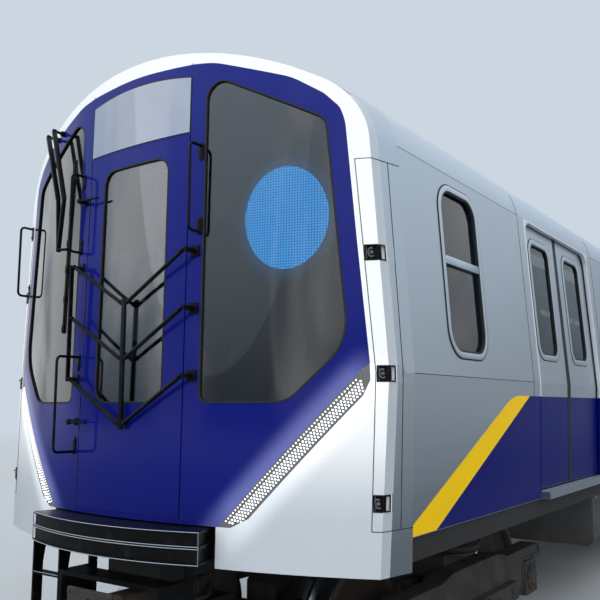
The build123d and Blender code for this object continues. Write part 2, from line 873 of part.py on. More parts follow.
def wheelset():
    """Axle and two flanged wheels, turned about the X axis at the middle of the car."""
    flange = wheel_radius + flange_depth
    profile = [
        (0, 0), (0, axle_radius), (wheel_back, axle_radius), (wheel_back, flange),
        (wheel_back + 36, wheel_radius), (wheel_front, wheel_radius), (wheel_front, journal_radius),
        (journal_end, journal_radius), (journal_end, 0),
    ]
    half = revolve(outline(profile), axis=Axis.X, revolution_arc=360)
    return Pos(0, 0, wheel_radius) * (half + mirrored(half))


def truck_frame():
    """Two side frames, a transom, springs and motors, round the truck's own centre."""
    # Distance from the truck's middle, and height above the axles
    half = [
        (0, 268), (380, 268), (560, 228), (1230, 228), (1280, 178), (1280, 143),
        (892, 143), (892, -12), (800, -92), (0, -92),
    ]
    points = half + [(-y, z) for y, z in reversed(half) if y > 0]
    side = outline([(y, wheel_radius + z) for y, z in points])
    frame = across(side, side_frame_in, side_frame_out)
    frame += mirrored(frame)
    frame += block(-side_frame_in, side_frame_in, -transom_half, transom_half, transom_bottom, transom_top)
    spring = bolster_bottom - pin_gap - transom_top
    for x in (-880, 880):
        frame += Pos(x, 0, transom_top + spring / 2) * Cylinder(spring_radius, spring)
    frame -= Pos(0, 0, transom_top) * Cylinder(centre_pin + pin_gap, far / 10)
    for end in (-1, 1):
        motor = block(-310, 310, end * 320, end * 720, wheel_radius - 200, wheel_radius + 200)
        frame += chamfer(motor.edges().filter_by(Axis.X), 90)
        frame += block(-60, 60, end * 200, end * 400, wheel_radius + 88, wheel_radius + 188)
    for side in (-1, 1):
        shoe_beam = (side * side_frame_out, side * (side_frame_out + 60))
        frame += block(*shoe_beam, -620, 620, wheel_radius - 72, wheel_radius + 48)
    return frame


def axle_boxes():
    """Four bearing boxes, open below, with their rubber springs under the side frames."""
    boxes = []
    bore = journal_radius + seat_gap
    for x_side in (-1, 1):
        for end in (-1, 1):
            y = end * axle_spacing / 2
            x = (x_side * (journal_start + 10), x_side * (journal_end + 80))
            box = block(*x, y - 125, y + 125, wheel_radius - 122, transom_bottom)
            frame = (x_side * side_frame_in, x_side * side_frame_out)
            box += block(*frame, y - 60, y + 60, transom_bottom, pedestal_height - seat_gap)
            room = (x_side * journal_start, x_side * (journal_end + 5))
            box -= across(Pos(y, wheel_radius) * Circle(bore), *sorted(room))
            box -= block(*room, y - bore, y + bore, 0, wheel_radius)
            boxes.append(box)
    return boxes


def coupler(end):
    """Shank, head and face plate, pivoted on an upright pin."""
    z = coupler_height
    head = end * (coupler_pivot + 660)
    coupling = block(-70, 70, end * (coupler_pivot - 60), head, z - shank_half, z + shank_half)
    coupling += block(-170, 170, head, end * half_length, z - coupler_head_half, z + coupler_head_half)
    front_edges = coupling.edges().filter_by(Axis.Z).group_by(Axis.Y)[0 if end < 0 else -1]
    coupling = chamfer(front_edges, 30)
    return coupling - Pos(0, end * coupler_pivot, z) * Cylinder(coupler_pin + pin_gap, 300)


def underfloor_cases():
    """Equipment cases hung from the cross-members."""
    cases = []
    # Middle along the car, length, side, inner edge and bottom height
    table = [
        (-3700, 1500, 1, 250, 480),
        (-1500, 2300, 1, 250, 420),
        (1300, 2200, 1, 400, 520),
        (3800, 1700, 1, 250, 450),
        (-3500, 1900, -1, 250, 450),
        (-900, 2200, -1, 350, 500),
        (1700, 1900, -1, 250, 430),
        (3900, 1500, -1, 250, 480),
    ]
    for y, length, side, inner, bottom in table:
        x = (side * inner, side * (waist_half - 260))
        case = block(*x, y - length / 2, y + length / 2, bottom, underframe_bottom)
        lower = case.edges().filter_by(Axis.Y).group_by(Axis.Z)[0]
        cases.append(chamfer(lower, 40))
    return cases


def write(name, shape):
    """Lift a node off the rail head and store it."""
    solids = shape if isinstance(shape, list) else [shape]
    lifted = []
    for item in solids:
        lifted += [Pos(0, 0, flange_depth) * solid for solid in item.solids()]
    export_step(Compound(children=lifted) if len(lifted) > 1 else lifted[0], f"parts/{name}.step")


def main():
    left = side_panels()
    write("side_panels_left", left)
    write("side_panels_right", [mirrored(panel) for panel in left])
    single = [
        floor_frame, cant_rails, roof, ceiling, ceiling_lights, cab_shell, front_mask, front_glass,
        light_strips, corner_brackets, body_glass, rear_end_wall, cab_partition, driver_console, driver_seat,
        benches, stanchions, underfloor_cases, anticlimbers, end_steps, grab_handles, door_latches, wiper,
        gate_brackets, front_door, front_door_glass, rear_door, cab_door,
    ]
    for piece in single:
        write(piece.__name__, piece())
    for number, y in enumerate(door_centres, start=1):
        for end, word in ((-1, "front"), (1, "rear")):
            leaf = door_leaf(y, end)
            write(f"left_door_{number}_{word}", leaf)
            write(f"right_door_{number}_{word}", mirrored(leaf))
    for level, word in zip(gate_levels, ("upper", "middle", "lower")):
        write(f"gate_arms_{word}", gate_arms(level))
    write("gate_post", gate_centre_post())
    frame = truck_frame()
    boxes = axle_boxes()
    wheels = wheelset()
    for end, word in ((-1, "front"), (1, "rear")):
        centre = Pos(0, end * truck_offset, 0)
        write(f"truck_frame_{word}", centre * frame)
        write(f"axle_boxes_{word}", [centre * box for box in boxes])
        for axle, number in ((-1, 1), (1, 2)):
            write(f"wheelset_{word}_{number}", centre * Pos(0, axle * axle_spacing / 2, 0) * wheels)
        write(f"coupler_{word}", coupler(end))


main()
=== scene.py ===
import math
from functools import cache

import bpy
from bpy.props import FloatProperty, FloatVectorProperty, IntProperty, PointerProperty
from mathutils import Matrix, Vector


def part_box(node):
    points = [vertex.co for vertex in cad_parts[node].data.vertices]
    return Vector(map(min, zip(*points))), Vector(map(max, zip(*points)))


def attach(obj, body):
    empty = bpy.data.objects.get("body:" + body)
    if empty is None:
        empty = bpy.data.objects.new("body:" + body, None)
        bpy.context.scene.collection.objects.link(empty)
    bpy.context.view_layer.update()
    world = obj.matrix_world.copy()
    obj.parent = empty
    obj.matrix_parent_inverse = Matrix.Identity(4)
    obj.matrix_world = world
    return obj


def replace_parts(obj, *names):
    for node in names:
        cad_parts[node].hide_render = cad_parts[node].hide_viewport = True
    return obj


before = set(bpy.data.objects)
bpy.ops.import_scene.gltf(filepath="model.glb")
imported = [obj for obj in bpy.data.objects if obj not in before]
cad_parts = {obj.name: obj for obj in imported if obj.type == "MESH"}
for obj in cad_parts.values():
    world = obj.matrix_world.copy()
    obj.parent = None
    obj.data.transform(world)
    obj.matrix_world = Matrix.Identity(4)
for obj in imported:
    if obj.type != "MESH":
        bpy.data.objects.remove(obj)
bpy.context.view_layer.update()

bl_info = {
    "name": "Metro cab car finish",
    "version": (1, 0, 0),
    "blender": (4, 5, 0),
    "location": "3D View > Sidebar > Metro car",
    "description": "Finishes, fittings and livery of a metro cab car, built round its packed frame",
    "category": "Object",
}

# Places taken over from the frame, in metres. The wheels' flanges stand on zero.
RAIL = 0.028
NOSE_RADIUS = 3.25
NOSE_LEAN = math.tan(math.radians(0.8))
NOSE_FOOT = 1.157 + RAIL
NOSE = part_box("front_door")[0].y
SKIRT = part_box("side_panels_left")[0].z
WAIST = 1.907 + RAIL
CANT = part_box("side_panels_left")[1].z
WAIST_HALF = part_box("side_panels_left")[1].x
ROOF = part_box("roof")[1].z
ROOF_RADIUS = 2.33
SHOULDER_RADIUS = 0.4
SLOPE_LOW = 0.030 / (WAIST - SKIRT)
SLOPE_HIGH = 0.075 / (CANT - WAIST)
CAB_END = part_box("side_panels_left")[0].y
BODY_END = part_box("rear_end_wall")[1].y
STRIP_START = Vector((0.632, 0, NOSE_FOOT))
STRIP_ALONG = Vector((0.675, 0, 0.738))
STRIP_INWARD = Vector((0.738, 0, -0.675))
CAB_TAPER = 0.135 / 0.6
STRIP_HALF = 0.410
FLOOR_TOP = 1.165 + RAIL
DOOR_HALF = 0.81
WHEEL_RADIUS = 0.432
AXLE_BASE = 1.041
DOORS = [
    (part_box(f"left_door_{n}_front")[1].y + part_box(f"left_door_{n}_rear")[0].y) / 2
    for n in (1, 2, 3, 4)
]
SIDES = (("left", 1), ("right", -1))


def linear(code):
    """An sRGB hex colour as linear red, green, blue and alpha."""
    parts = [int(code[i:i + 2], 16) / 255 for i in (1, 3, 5)]
    return (*[c / 12.92 if c <= 0.04045 else ((c + 0.055) / 1.055) ** 2.4 for c in parts], 1.0)


def colour(name, description, code):
    """A colour setting, given by its hex code."""
    default = linear(code)
    return FloatVectorProperty(name=name, description=description, default=default, size=4, subtype="COLOR")


def length(name, description, default):
    """A length setting in metres."""
    return FloatProperty(
        name=name, description=description, default=default, unit="LENGTH", subtype="DISTANCE")


class LiveryColours(bpy.types.PropertyGroup):
    """Colours of the paint, film and lamps."""

    blue: colour("Blue", "Face of the cab and band along the sides", "#0C1466")
    yellow: colour("Yellow", "Slanting stripe behind the cab", "#FFCB00")
    white: colour("White", "Rim round the face of the cab", "#F4F6F8")
    silver: colour("Silver", "Brushed sheets of the body", "#C4CCD3")
    route: colour("Route lamp", "Lit disc behind the windscreen", "#00ACFF")


class DetailSizes(bpy.types.PropertyGroup):
    """Sizes that a user would change."""

    band_top: length("Band top", "Height of the blue band's upper edge", 1.812 + RAIL)
    film: length("Film", "Thickness of the livery film", 0.001)
    seam: length("Seam", "Half width of a sealed joint between panels", 0.0022)
    gasket: length("Gasket", "Width of the rubber round a windscreen", 0.010)
    gate_tube: length("Gate tube", "Radius of the gate's tubes", 0.011)
    handle_tube: length("Handle tube", "Radius of the grab bars", 0.008)
    lamp_pitch: length("Lamp pitch", "Distance between lamps along a light strip", 0.0185)
    wheel_steps: IntProperty(name="Wheel steps", description="Faces round a wheel", default=72, min=24)


class StageSettings(bpy.types.PropertyGroup):
    """Camera, floor and light."""

    camera_place: FloatVectorProperty(
        name="Camera", description="Where the camera stands",
        default=(3.2009, -11.8063, 1.778), subtype="TRANSLATION")
    camera_turn: FloatProperty(
        name="Turn", description="Turn to the left of the car's length",
        default=0.6187, unit="ROTATION", subtype="ANGLE")
    camera_tilt: FloatProperty(
        name="Tilt", description="How far the camera looks up",
        default=0.1379, unit="ROTATION", subtype="ANGLE")
    lens: FloatProperty(name="Lens", description="Focal length in millimetres", default=45.56)
    floor: colour("Floor", "Colour of the floor", "#C6CDD3")
    backdrop: colour("Background", "Colour of the background", "#CBD6E1")


# Selecting and shaping

def choose(piece, *others):
    """Makes a piece active, and selects it and any others and nothing else."""
    bpy.ops.object.select_all(action="DESELECT")
    for item in (*others, piece):
        item.select_set(True)
    bpy.context.view_layer.objects.active = piece


def edit(piece):
    """Opens a piece in edit mode with all of it selected."""
    choose(piece)
    bpy.ops.object.mode_set(mode="EDIT")
    bpy.ops.mesh.select_all(action="SELECT")


def close_edit(recalculate=True):
    """Leaves edit mode, with the faces turned outwards."""
    if recalculate:
        bpy.ops.mesh.select_all(action="SELECT")
        bpy.ops.mesh.normals_make_consistent(inside=False)
    bpy.ops.object.mode_set(mode="OBJECT")


def apply_modifier(piece, kind, **settings):
    """Adds a modifier to a piece and applies it."""
    choose(piece)
    modifier = piece.modifiers.new(kind.title(), kind)
    for name, value in settings.items():
        setattr(modifier, name, value)
    bpy.ops.object.modifier_apply(modifier=modifier.name)
    return piece


def soften(piece, width=0.002, segments=2):
    """Rounds a piece's sharp edges."""
    return apply_modifier(piece, "BEVEL", width=width, segments=segments, limit_method="ANGLE",
                          angle_limit=math.radians(35), harden_normals=False)


def cut(piece, *cutters):
    """Cuts other closed pieces out of a piece and removes them."""
    for cutter in cutters:
        apply_modifier(piece, "BOOLEAN", object=cutter, operation="DIFFERENCE", solver="EXACT")
        bpy.data.objects.remove(cutter)
    return piece


def join(pieces):
    """Joins pieces into the first of them."""
    pieces = list(pieces)
    if len(pieces) > 1:
        choose(pieces[0], *pieces[1:])
        bpy.ops.object.join()
    return pieces[0]


def copied(piece, move=(0, 0, 0), turn=0.0, axis="Z"):
    """A copy with its own mesh, turned about the origin and then moved."""
    twin = bpy.data.objects.new(piece.name, piece.data.copy())
    bpy.context.scene.collection.objects.link(twin)
    twin.data.transform(Matrix.Translation(move) @ Matrix.Rotation(turn, 4, axis))
    return twin


def mirrored(piece, axis=0):
    """A copy on the other side of the car, or at its other end for axis 1."""
    scale = [1, 1, 1]
    scale[axis] = -1
    twin = copied(piece)
    twin.data.transform(Matrix.Diagonal((*scale, 1)))
    twin.data.flip_normals()
    return twin


def finish(piece, name, material, body="carbody", smooth=30):
    """Names a piece, gives it a material and hands it to the body that carries it."""
    choose(piece)
    bpy.ops.object.transform_apply(location=True, rotation=True, scale=True)
    piece.name = name
    piece.data.name = name
    if material is not None:
        piece.data.materials.clear()
        piece.data.materials.append(material)
    bpy.ops.object.shade_smooth_by_angle(angle=math.radians(smooth))
    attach(piece, body)
    return piece


# Starting shapes

def box(low, high, edge=0.002, segments=2):
    """A block between two corners with softened edges."""
    low, high = Vector(low), Vector(high)
    bpy.ops.object.select_all(action="DESELECT")
    bpy.ops.mesh.primitive_cube_add(size=1, location=(low + high) / 2)
    piece = bpy.context.object
    piece.scale = high - low
    bpy.ops.object.transform_apply(location=True, rotation=True, scale=True)
    return soften(piece, edge, segments) if edge else piece


def block(across, along, up, edge=0.002, segments=2):
    """A block between two places across, two along and two up, each pair in either order."""
    spans = [sorted(pair) for pair in (across, along, up)]
    return box([low for low, _ in spans], [high for _, high in spans], edge, segments)


def rod(start, end, radius, sides=20, edge=0.0):
    """A round bar between two points."""
    start, end = Vector(start), Vector(end)
    line = end - start
    bpy.ops.object.select_all(action="DESELECT")
    bpy.ops.mesh.primitive_cylinder_add(vertices=sides, radius=radius, depth=line.length)
    piece = bpy.context.object
    turn = line.to_track_quat("Z", "Y").to_matrix().to_4x4()
    piece.data.transform(Matrix.Translation((start + end) / 2) @ turn)
    return soften(piece, edge) if edge else piece


def arc_points(before, corner, after, radius, steps):
    """Points of the arc that rounds one corner."""
    before, corner, after = Vector(before), Vector(corner), Vector(after)
    a, b = before - corner, after - corner
    angle = a.angle(b)
    if angle > math.pi - 0.01:
        return [corner]
    reach = min(radius / math.tan(angle / 2), a.length * 0.49, b.length * 0.49)
    radius = reach * math.tan(angle / 2)
    start, end = corner + a.normalized() * reach, corner + b.normalized() * reach
    centre = corner + (a.normalized() + b.normalized()).normalized() * (radius / math.sin(angle / 2))
    sweep = math.pi - angle
    u, w = start - centre, end - centre
    return [
        centre + (u * math.sin(sweep * (1 - t)) + w * math.sin(sweep * t)) / math.sin(sweep)
        for t in [i / steps for i in range(steps + 1)]
    ]


def rounded(points, radius, steps=6, closed=True):
    """A line of points with its corners rounded; radius is one value or one for each corner."""
    count = len(points)
    radii = radius if isinstance(radius, (list, tuple)) else [radius] * count
    line = []
    for i, point in enumerate(points):
        if (not closed and i in (0, count - 1)) or radii[i] <= 0:
            line.append(Vector(point))
        else:
            line += arc_points(points[i - 1], point, points[(i + 1) % count], radii[i], steps)
    return line


def tube(points, radius, bend=0.0, closed=False, sides=3):
    """A round tube along a line of points, with its corners bent to a radius."""
    line = rounded(points, bend, 6, closed) if bend else [Vector(p) for p in points]
    curve = bpy.data.curves.new("tube", "CURVE")
    curve.dimensions = "3D"
    curve.bevel_depth = radius
    curve.bevel_resolution = sides
    curve.use_fill_caps = True
    spline = curve.splines.new("POLY")
    spline.points.add(len(line) - 1)
    for place, point in zip(spline.points, line):
        place.co = (*point, 1)
    spline.use_cyclic_u = closed
    piece = bpy.data.objects.new("tube", curve)
    bpy.context.scene.collection.objects.link(piece)
    choose(piece)
    bpy.ops.object.convert(target="MESH")
    return bpy.context.object


def flat_face(points):
    """A filled outline: a disc primitive whose rim is moved to the points."""
    bpy.ops.object.select_all(action="DESELECT")
    bpy.ops.mesh.primitive_circle_add(vertices=len(points), fill_type="NGON")
    piece = bpy.context.object
    for vertex, point in zip(piece.data.vertices, points):
        vertex.co = point
    return piece


def plate(points, move):
    """A flat outline extruded through its thickness."""
    piece = flat_face(points)
    edit(piece)
    bpy.ops.mesh.extrude_region_move(TRANSFORM_OT_translate={"value": move})
    close_edit()
    return piece


def ring(points, width, move, edge=0.0015):
    """A frame of one width round the inside of an outline, extruded through its thickness."""
    piece = flat_face(points)
    edit(piece)
    bpy.ops.mesh.inset(thickness=width, depth=0)
    bpy.ops.mesh.delete(type="FACE")
    bpy.ops.mesh.select_all(action="SELECT")
    bpy.ops.mesh.extrude_region_move(TRANSFORM_OT_translate={"value": move})
    close_edit()
    return soften(piece, edge) if edge else piece


def lathe(profile, centre, axis, steps):
    """A closed profile spun round an axis."""
    piece = flat_face(profile)
    edit(piece)
    bpy.ops.mesh.delete(type="ONLY_FACE")
    bpy.ops.mesh.select_all(action="SELECT")
    bpy.ops.mesh.spin(steps=steps, angle=2 * math.pi, center=centre, axis=axis)
    bpy.ops.mesh.select_all(action="SELECT")
    bpy.ops.mesh.remove_doubles(threshold=0.00005)
    close_edit()
    return piece


def solids(node):
    """Lowest and highest corner of each separate solid of a CAD node, in order along the car."""
    twin = copied(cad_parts[node])
    choose(twin)
    twin.parent = None
    edit(twin)
    bpy.ops.mesh.remove_doubles(threshold=0.00001)
    bpy.ops.mesh.separate(type="LOOSE")
    bpy.ops.object.mode_set(mode="OBJECT")
    corners = []
    for part in list(bpy.context.selected_objects):
        places = [v.co for v in part.data.vertices]
        low = Vector([min(p[i] for p in places) for i in range(3)])
        high = Vector([max(p[i] for p in places) for i in range(3)])
        corners.append((low, high))
        bpy.data.objects.remove(part)
    return sorted(corners, key=lambda c: (round(c[0].y, 2), c[0].x, c[0].z))


# The car's own surfaces

@cache
def shoulder_centre():
    """Place across and height of the centre of the arc between side and roof."""
    middle = ROOF - ROOF_RADIUS
    reach = WAIST_HALF + WAIST * SLOPE_HIGH - SHOULDER_RADIUS * math.sqrt(1 + SLOPE_HIGH ** 2)
    a = 1 + SLOPE_HIGH ** 2
    b = reach * SLOPE_HIGH + middle
    c = reach ** 2 + middle ** 2 - (ROOF_RADIUS - SHOULDER_RADIUS) ** 2
    z = (b + math.sqrt(b * b - a * c)) / a
    return reach - SLOPE_HIGH * z, z


def side_x(z):
    """Half width of the body's skin at a height: leaning sides, rounded shoulders and the roof's arc."""
    across, centre = shoulder_centre()
    middle = ROOF - ROOF_RADIUS
    if z < WAIST:
        return WAIST_HALF + (z - WAIST) * SLOPE_LOW
    if z < centre + SHOULDER_RADIUS * SLOPE_HIGH:
        return WAIST_HALF - (z - WAIST) * SLOPE_HIGH
    if z < middle + (centre - middle) * ROOF_RADIUS / (ROOF_RADIUS - SHOULDER_RADIUS):
        return across + math.sqrt(SHOULDER_RADIUS ** 2 - (z - centre) ** 2)
    return math.sqrt(max(0.0, ROOF_RADIUS ** 2 - (z - middle) ** 2))


def roof_z(x):
    """Height of the roof's arc at a place across."""
    return ROOF - ROOF_RADIUS + math.sqrt(ROOF_RADIUS ** 2 - x * x)


def front_y(x, z):
    """Y of the cab front's rounded, leaning face."""
    bow = NOSE_RADIUS - math.sqrt(NOSE_RADIUS ** 2 - x * x)
    return NOSE + bow + (z - NOSE_FOOT) * NOSE_LEAN


def fold_x(z):
    """Half width at which the cab's face meets its tapering side."""
    x = side_x(z)
    for _ in range(12):
        x = side_x(z) - CAB_TAPER * (CAB_END - front_y(x, z))
    return x


def cab_side(y, z, side=1):
    """A point of the cab's tapering side."""
    return Vector((side * (side_x(z) - CAB_TAPER * max(0, CAB_END - y)), y, z))


def on_front(points, out=0.0):
    """Front-view points carried onto the cab's face."""
    return [Vector((x, front_y(x, z) - out, z)) for x, z in points]


def divided(piece, strip):
    """Cuts a piece's faces along the car into strips of a width, so that it can follow a curve."""
    places = [v.co.x for v in piece.data.vertices]
    first, last = math.floor(min(places) / strip) + 1, math.ceil(max(places) / strip)
    edit(piece)
    for step in range(first, last):
        bpy.ops.mesh.select_all(action="SELECT")
        bpy.ops.mesh.bisect(plane_co=(step * strip, 0, 0), plane_no=(1, 0, 0))
    close_edit(recalculate=False)
    return piece


def onto_front(piece, strip=0.04):
    """Lays a flat front-view piece onto the cab's rounded face."""
    for vertex in divided(piece, strip).data.vertices:
        vertex.co.y += front_y(vertex.co.x, vertex.co.z)
    return piece


def onto_roof(piece, strip=0.08):
    """Lays a flat top-view piece, whose Z is its height above the skin, onto the roof's arc."""
    for vertex in divided(piece, strip).data.vertices:
        vertex.co.z += roof_z(vertex.co.x)
    return piece


def onto_side(piece, side, depth=0.0):
    """Lays a flat side-view piece, whose X is its height above the skin, onto a side wall."""
    for vertex in piece.data.vertices:
        vertex.co.x = side * (side_x(vertex.co.z) - depth + vertex.co.x)
    if side < 0:
        piece.data.flip_normals()
    return piece


def onto_cab(piece, side, depth=0.0):
    """Lays a flat side-view piece, whose X is its height above the skin, onto the cab's tapering side."""
    for vertex in piece.data.vertices:
        vertex.co.x = side * (cab_side(vertex.co.y, vertex.co.z).x - depth + vertex.co.x)
    if side < 0:
        piece.data.flip_normals()
    return piece


def front_view(points, y=0.0):
    """Front-view pairs as points of a flat outline."""
    return [Vector((x, y, z)) for x, z in points]


def side_view(points, x=0.0):
    """Side-view pairs as points of a flat outline."""
    return [Vector((x, y, z)) for y, z in points]


def four(left, foot, right, head):
    """The corners of a rectangle, as pairs."""
    return [(left, foot), (right, foot), (right, head), (left, head)]


def shifted(points, x=0.0, y=0.0):
    """Points moved across and along."""
    return [p + Vector((x, y, 0)) for p in points]


def window_outline(y, z, width, height, corner, grow=0.0):
    """A rounded window outline in side view, grown outwards by a margin."""
    w, h = width / 2 + grow, height / 2 + grow
    return rounded(side_view(four(y - w, z - h, y + w, z + h)), corner + grow, 8)


def leaves(word):
    """Every door leaf of a side: its name, the middle of its doorway, and its own end of that."""
    for number, y in enumerate(DOORS, start=1):
        for end, part in ((-1, "front"), (1, "rear")):
            yield f"{word}_door_{number}_{part}", y, end


# Node building

def add_node(tree, kind, inputs=None, **settings):
    """Adds a shader node, sets its properties, and fills its inputs with values or links."""
    node = tree.nodes.new("ShaderNode" + kind)
    for name, value in settings.items():
        setattr(node, name, value)
    for socket, value in (inputs or {}).items():
        if isinstance(value, bpy.types.NodeSocket):
            tree.links.new(value, node.inputs[socket])
        else:
            node.inputs[socket].default_value = value
    return node


def new_material(name, sockets):
    """A named Principled material, its tree and its shader, with plain values set on the shader."""
    made = bpy.data.materials.new(name)
    made.use_nodes = True
    shader = made.node_tree.nodes["Principled BSDF"]
    for socket, value in sockets.items():
        shader.inputs[socket].default_value = value
    return made, made.node_tree, shader


def shade(colour, amount):
    """A colour made lighter or darker by a factor."""
    return (*[min(1.0, c * amount) for c in colour[:3]], 1.0)


def two_tone(name, sockets, cloud, tones, rough, spread=None, stretch=None, grain=None):
    """A material with one noise between two tones and two roughnesses, and a finer grain as its bump.

    cloud is the noise's scale and detail, with its roughness where it has its own. spread is the part of
    the noise that takes one tone to the other, stretch the scale of each axis, and grain the bump's
    texture, that texture's inputs, the strength and the depth.
    """
    made, tree, shader = new_material(name, sockets)
    place = add_node(tree, "TexCoord").outputs["Object"]
    pattern = {"Vector": place, "Scale": cloud[0], "Detail": cloud[1]}
    if len(cloud) > 2:
        pattern["Roughness"] = cloud[2]
    if stretch:
        pattern["Vector"] = add_node(tree, "Mapping", {0: place, "Scale": stretch}).outputs[0]
    share = clouds = add_node(tree, "TexNoise", pattern).outputs[0]
    if spread:
        share = add_node(tree, "MapRange", {0: clouds, 1: spread[0], 2: spread[1]}).outputs[0]
    tone = add_node(tree, "Mix", {0: share, 6: linear(tones[0]), 7: linear(tones[1])}, data_type="RGBA")
    tree.links.new(tone.outputs[2], shader.inputs["Base Color"])
    wear = add_node(tree, "MapRange", {0: clouds, 3: rough[0], 4: rough[1]})
    tree.links.new(wear.outputs[0], shader.inputs["Roughness"])
    if grain:
        kind, inputs, strength, depth = grain
        texture = add_node(tree, kind, {"Vector": place, **inputs})
        bump = add_node(tree, "Bump", {"Strength": strength, "Distance": depth, "Height": texture.outputs[0]})
        tree.links.new(bump.outputs[0], shader.inputs["Normal"])
    return made


# Metals

@cache
def brushed_stainless():
    """Stainless sheet brushed lengthwise, darker towards the foot, with pale laminate on the faces turned
    inwards.
    """
    silver = bpy.context.scene.metro_colours.silver
    made, tree, shader = new_material("brushed_stainless", {})
    place = add_node(tree, "TexCoord").outputs["Object"]
    across = add_node(tree, "SeparateXYZ", {0: place}).outputs[0]
    way = add_node(tree, "NewGeometry").outputs["True Normal"]
    facing = add_node(tree, "SeparateXYZ", {0: way}).outputs[0]
    turned = add_node(tree, "Math", {0: across, 1: facing}, operation="MULTIPLY")
    bare = add_node(tree, "Math", {0: turned.outputs[0], 1: -0.8}, operation="GREATER_THAN")
    # Brush lines are 0.1 mm wide and are drawn 4 mm wide and 500 mm long, so that they show.
    lines = add_node(tree, "Mapping", {0: place, "Scale": (250, 2, 250)})
    grain = add_node(tree, "TexNoise", {"Vector": lines.outputs[0], "Scale": 1, "Detail": 3})
    cloud = add_node(tree, "TexNoise", {"Vector": place, "Scale": 0.9, "Detail": 2})
    height = add_node(tree, "SeparateXYZ", {0: place}).outputs[2]
    # The sheet is made darker towards the foot, from 1.5 m down to 1.12 m.
    dust = add_node(tree, "MapRange", {0: height, 1: 1.5, 2: 1.12, 3: 0.0, 4: 0.35})
    tone = add_node(tree, "Mix", {0: grain.outputs[0], 6: shade(silver, 0.94), 7: shade(silver, 1.05)},
                    data_type="RGBA")
    tinted_low_down = add_node(tree, "Mix", {0: dust.outputs[0], 6: tone.outputs[2], 7: linear("#7F8388")},
                     data_type="RGBA")
    rough = add_node(tree, "MapRange", {0: grain.outputs[0], 1: 0.3, 2: 0.7, 3: 0.27, 4: 0.36})
    worn = add_node(tree, "Math", {0: cloud.outputs[0], 1: 0.12, 2: rough.outputs[0]},
                    operation="MULTIPLY_ADD")
    bump = add_node(tree, "Bump", {"Strength": 0.08, "Distance": 0.0006, "Height": grain.outputs[0]})
    sheet = add_node(tree, "Mix", {0: bare.outputs[0], 6: linear("#C9CCCB"), 7: tinted_low_down.outputs[2]},
                     data_type="RGBA")
    tree.links.new(sheet.outputs[2], shader.inputs["Base Color"])
    tree.links.new(bare.outputs[0], shader.inputs["Metallic"])
    tree.links.new(worn.outputs[0], shader.inputs["Roughness"])
    tree.links.new(bump.outputs[0], shader.inputs["Normal"])
    return made


@cache
def satin_aluminium():
    """Anodised aluminium extrusion of frames and bars: pale, even and finely drawn."""
    # Draw lines of the extrusion, 0.2 mm apart, are drawn 3 mm apart.
    return two_tone("satin_anodised_aluminium", {"Metallic": 1.0}, (1, 2), ("#BCC5CC", "#D2D9DE"),
                    (0.26, 0.38), stretch=(330, 330, 12))


@cache
def lining_steel():
    """Bead-blasted stainless of the doorway linings: near white, evenly rough, rubbed brighter in patches;
    the near white is partly a painted highlight of the lit jambs.
    """
    return two_tone("pale_stainless_with_painted_highlight", {"Metallic": 0.55}, (3, 4), ("#D5DADE", "#F2F4F6"), (0.3, 0.5))


@cache
def polished_steel():
    """Hand-polished steel of poles and wheel treads: bright, with faint rubbed streaks."""
    return two_tone("polished_steel", {"Metallic": 1.0}, (60, 4), ("#AEB2B5", "#D6D9DB"), (0.12, 0.3))


@cache
def black_powder_coat():
    """Black powder coat on steel bars and castings: satin, finely pebbled, with greyer rubbed patches."""
    # The coat's pebbles are about 0.5 mm; they are drawn 2 mm wide.
    pebbles = ("TexNoise", {"Scale": 500, "Detail": 2}, 0.12, 0.0004)
    return two_tone("black_powder_coat", {"Specular IOR Level": 0.2}, (14, 5), ("#08090B", "#17191C"),
                    (0.26, 0.46), spread=(0.55, 0.72), grain=pebbles)


@cache
def truck_steel():
    """Cast and welded steel under dark primer and brown brake dust: matt, mottled, a little rough."""
    # Cast grain of about 1 mm is drawn 5 mm wide.
    cast = ("TexNoise", {"Scale": 190, "Detail": 3}, 0.3, 0.001)
    return two_tone("dusty_cast_steel", {"Metallic": 0.15}, (5, 6, 0.65), ("#2B2C2E", "#4B4138"),
                    (0.55, 0.85), spread=(0.38, 0.66), grain=cast)


@cache
def wheel_steel():
    """Forged wheel steel, browned by brake dust on its web and hub."""
    return two_tone("browned_forged_steel", {"Metallic": 0.7}, (9, 6), ("#5A5049", "#3A3633"), (0.42, 0.7))


# Paint and film

def strip_light(tree, place):
    """How much of the light strips' light falls on the face: full beside a strip, nothing 0.2 m away."""
    spot = add_node(tree, "SeparateXYZ", {0: place})
    across = add_node(tree, "Math", {0: spot.outputs[0]}, operation="ABSOLUTE")
    flat = add_node(tree, "CombineXYZ", {0: across.outputs[0], 2: spot.outputs[2]})
    shift = add_node(tree, "VectorMath", {0: flat.outputs[0], 1: STRIP_START}, operation="SUBTRACT")
    along = add_node(tree, "VectorMath", {0: shift.outputs[0], 1: STRIP_ALONG}, operation="DOT_PRODUCT")
    off = add_node(tree, "VectorMath", {0: shift.outputs[0], 1: STRIP_INWARD}, operation="DOT_PRODUCT")
    aside = add_node(tree, "Math", {0: off.outputs["Value"], 1: 0.045}, operation="SUBTRACT")
    away = add_node(tree, "Math", {0: aside.outputs[0]}, operation="ABSOLUTE")
    fade = add_node(tree, "MapRange", {0: away.outputs[0], 1: 0.03, 2: 0.17, 3: 0.3, 4: 0.0},
                    interpolation_type="SMOOTHERSTEP")
    begin = add_node(tree, "MapRange", {0: along.outputs["Value"], 1: -0.15, 2: 0.12, 3: 0.0, 4: 1.0})
    end = add_node(tree, "MapRange", {0: along.outputs["Value"], 1: 0.98, 2: 1.14, 3: 1.0, 4: 0.0})
    both = add_node(tree, "Math", {0: begin.outputs[0], 1: end.outputs[0]}, operation="MULTIPLY")
    return add_node(tree, "Math", {0: fade.outputs[0], 1: both.outputs[0]}, operation="MULTIPLY").outputs[0]


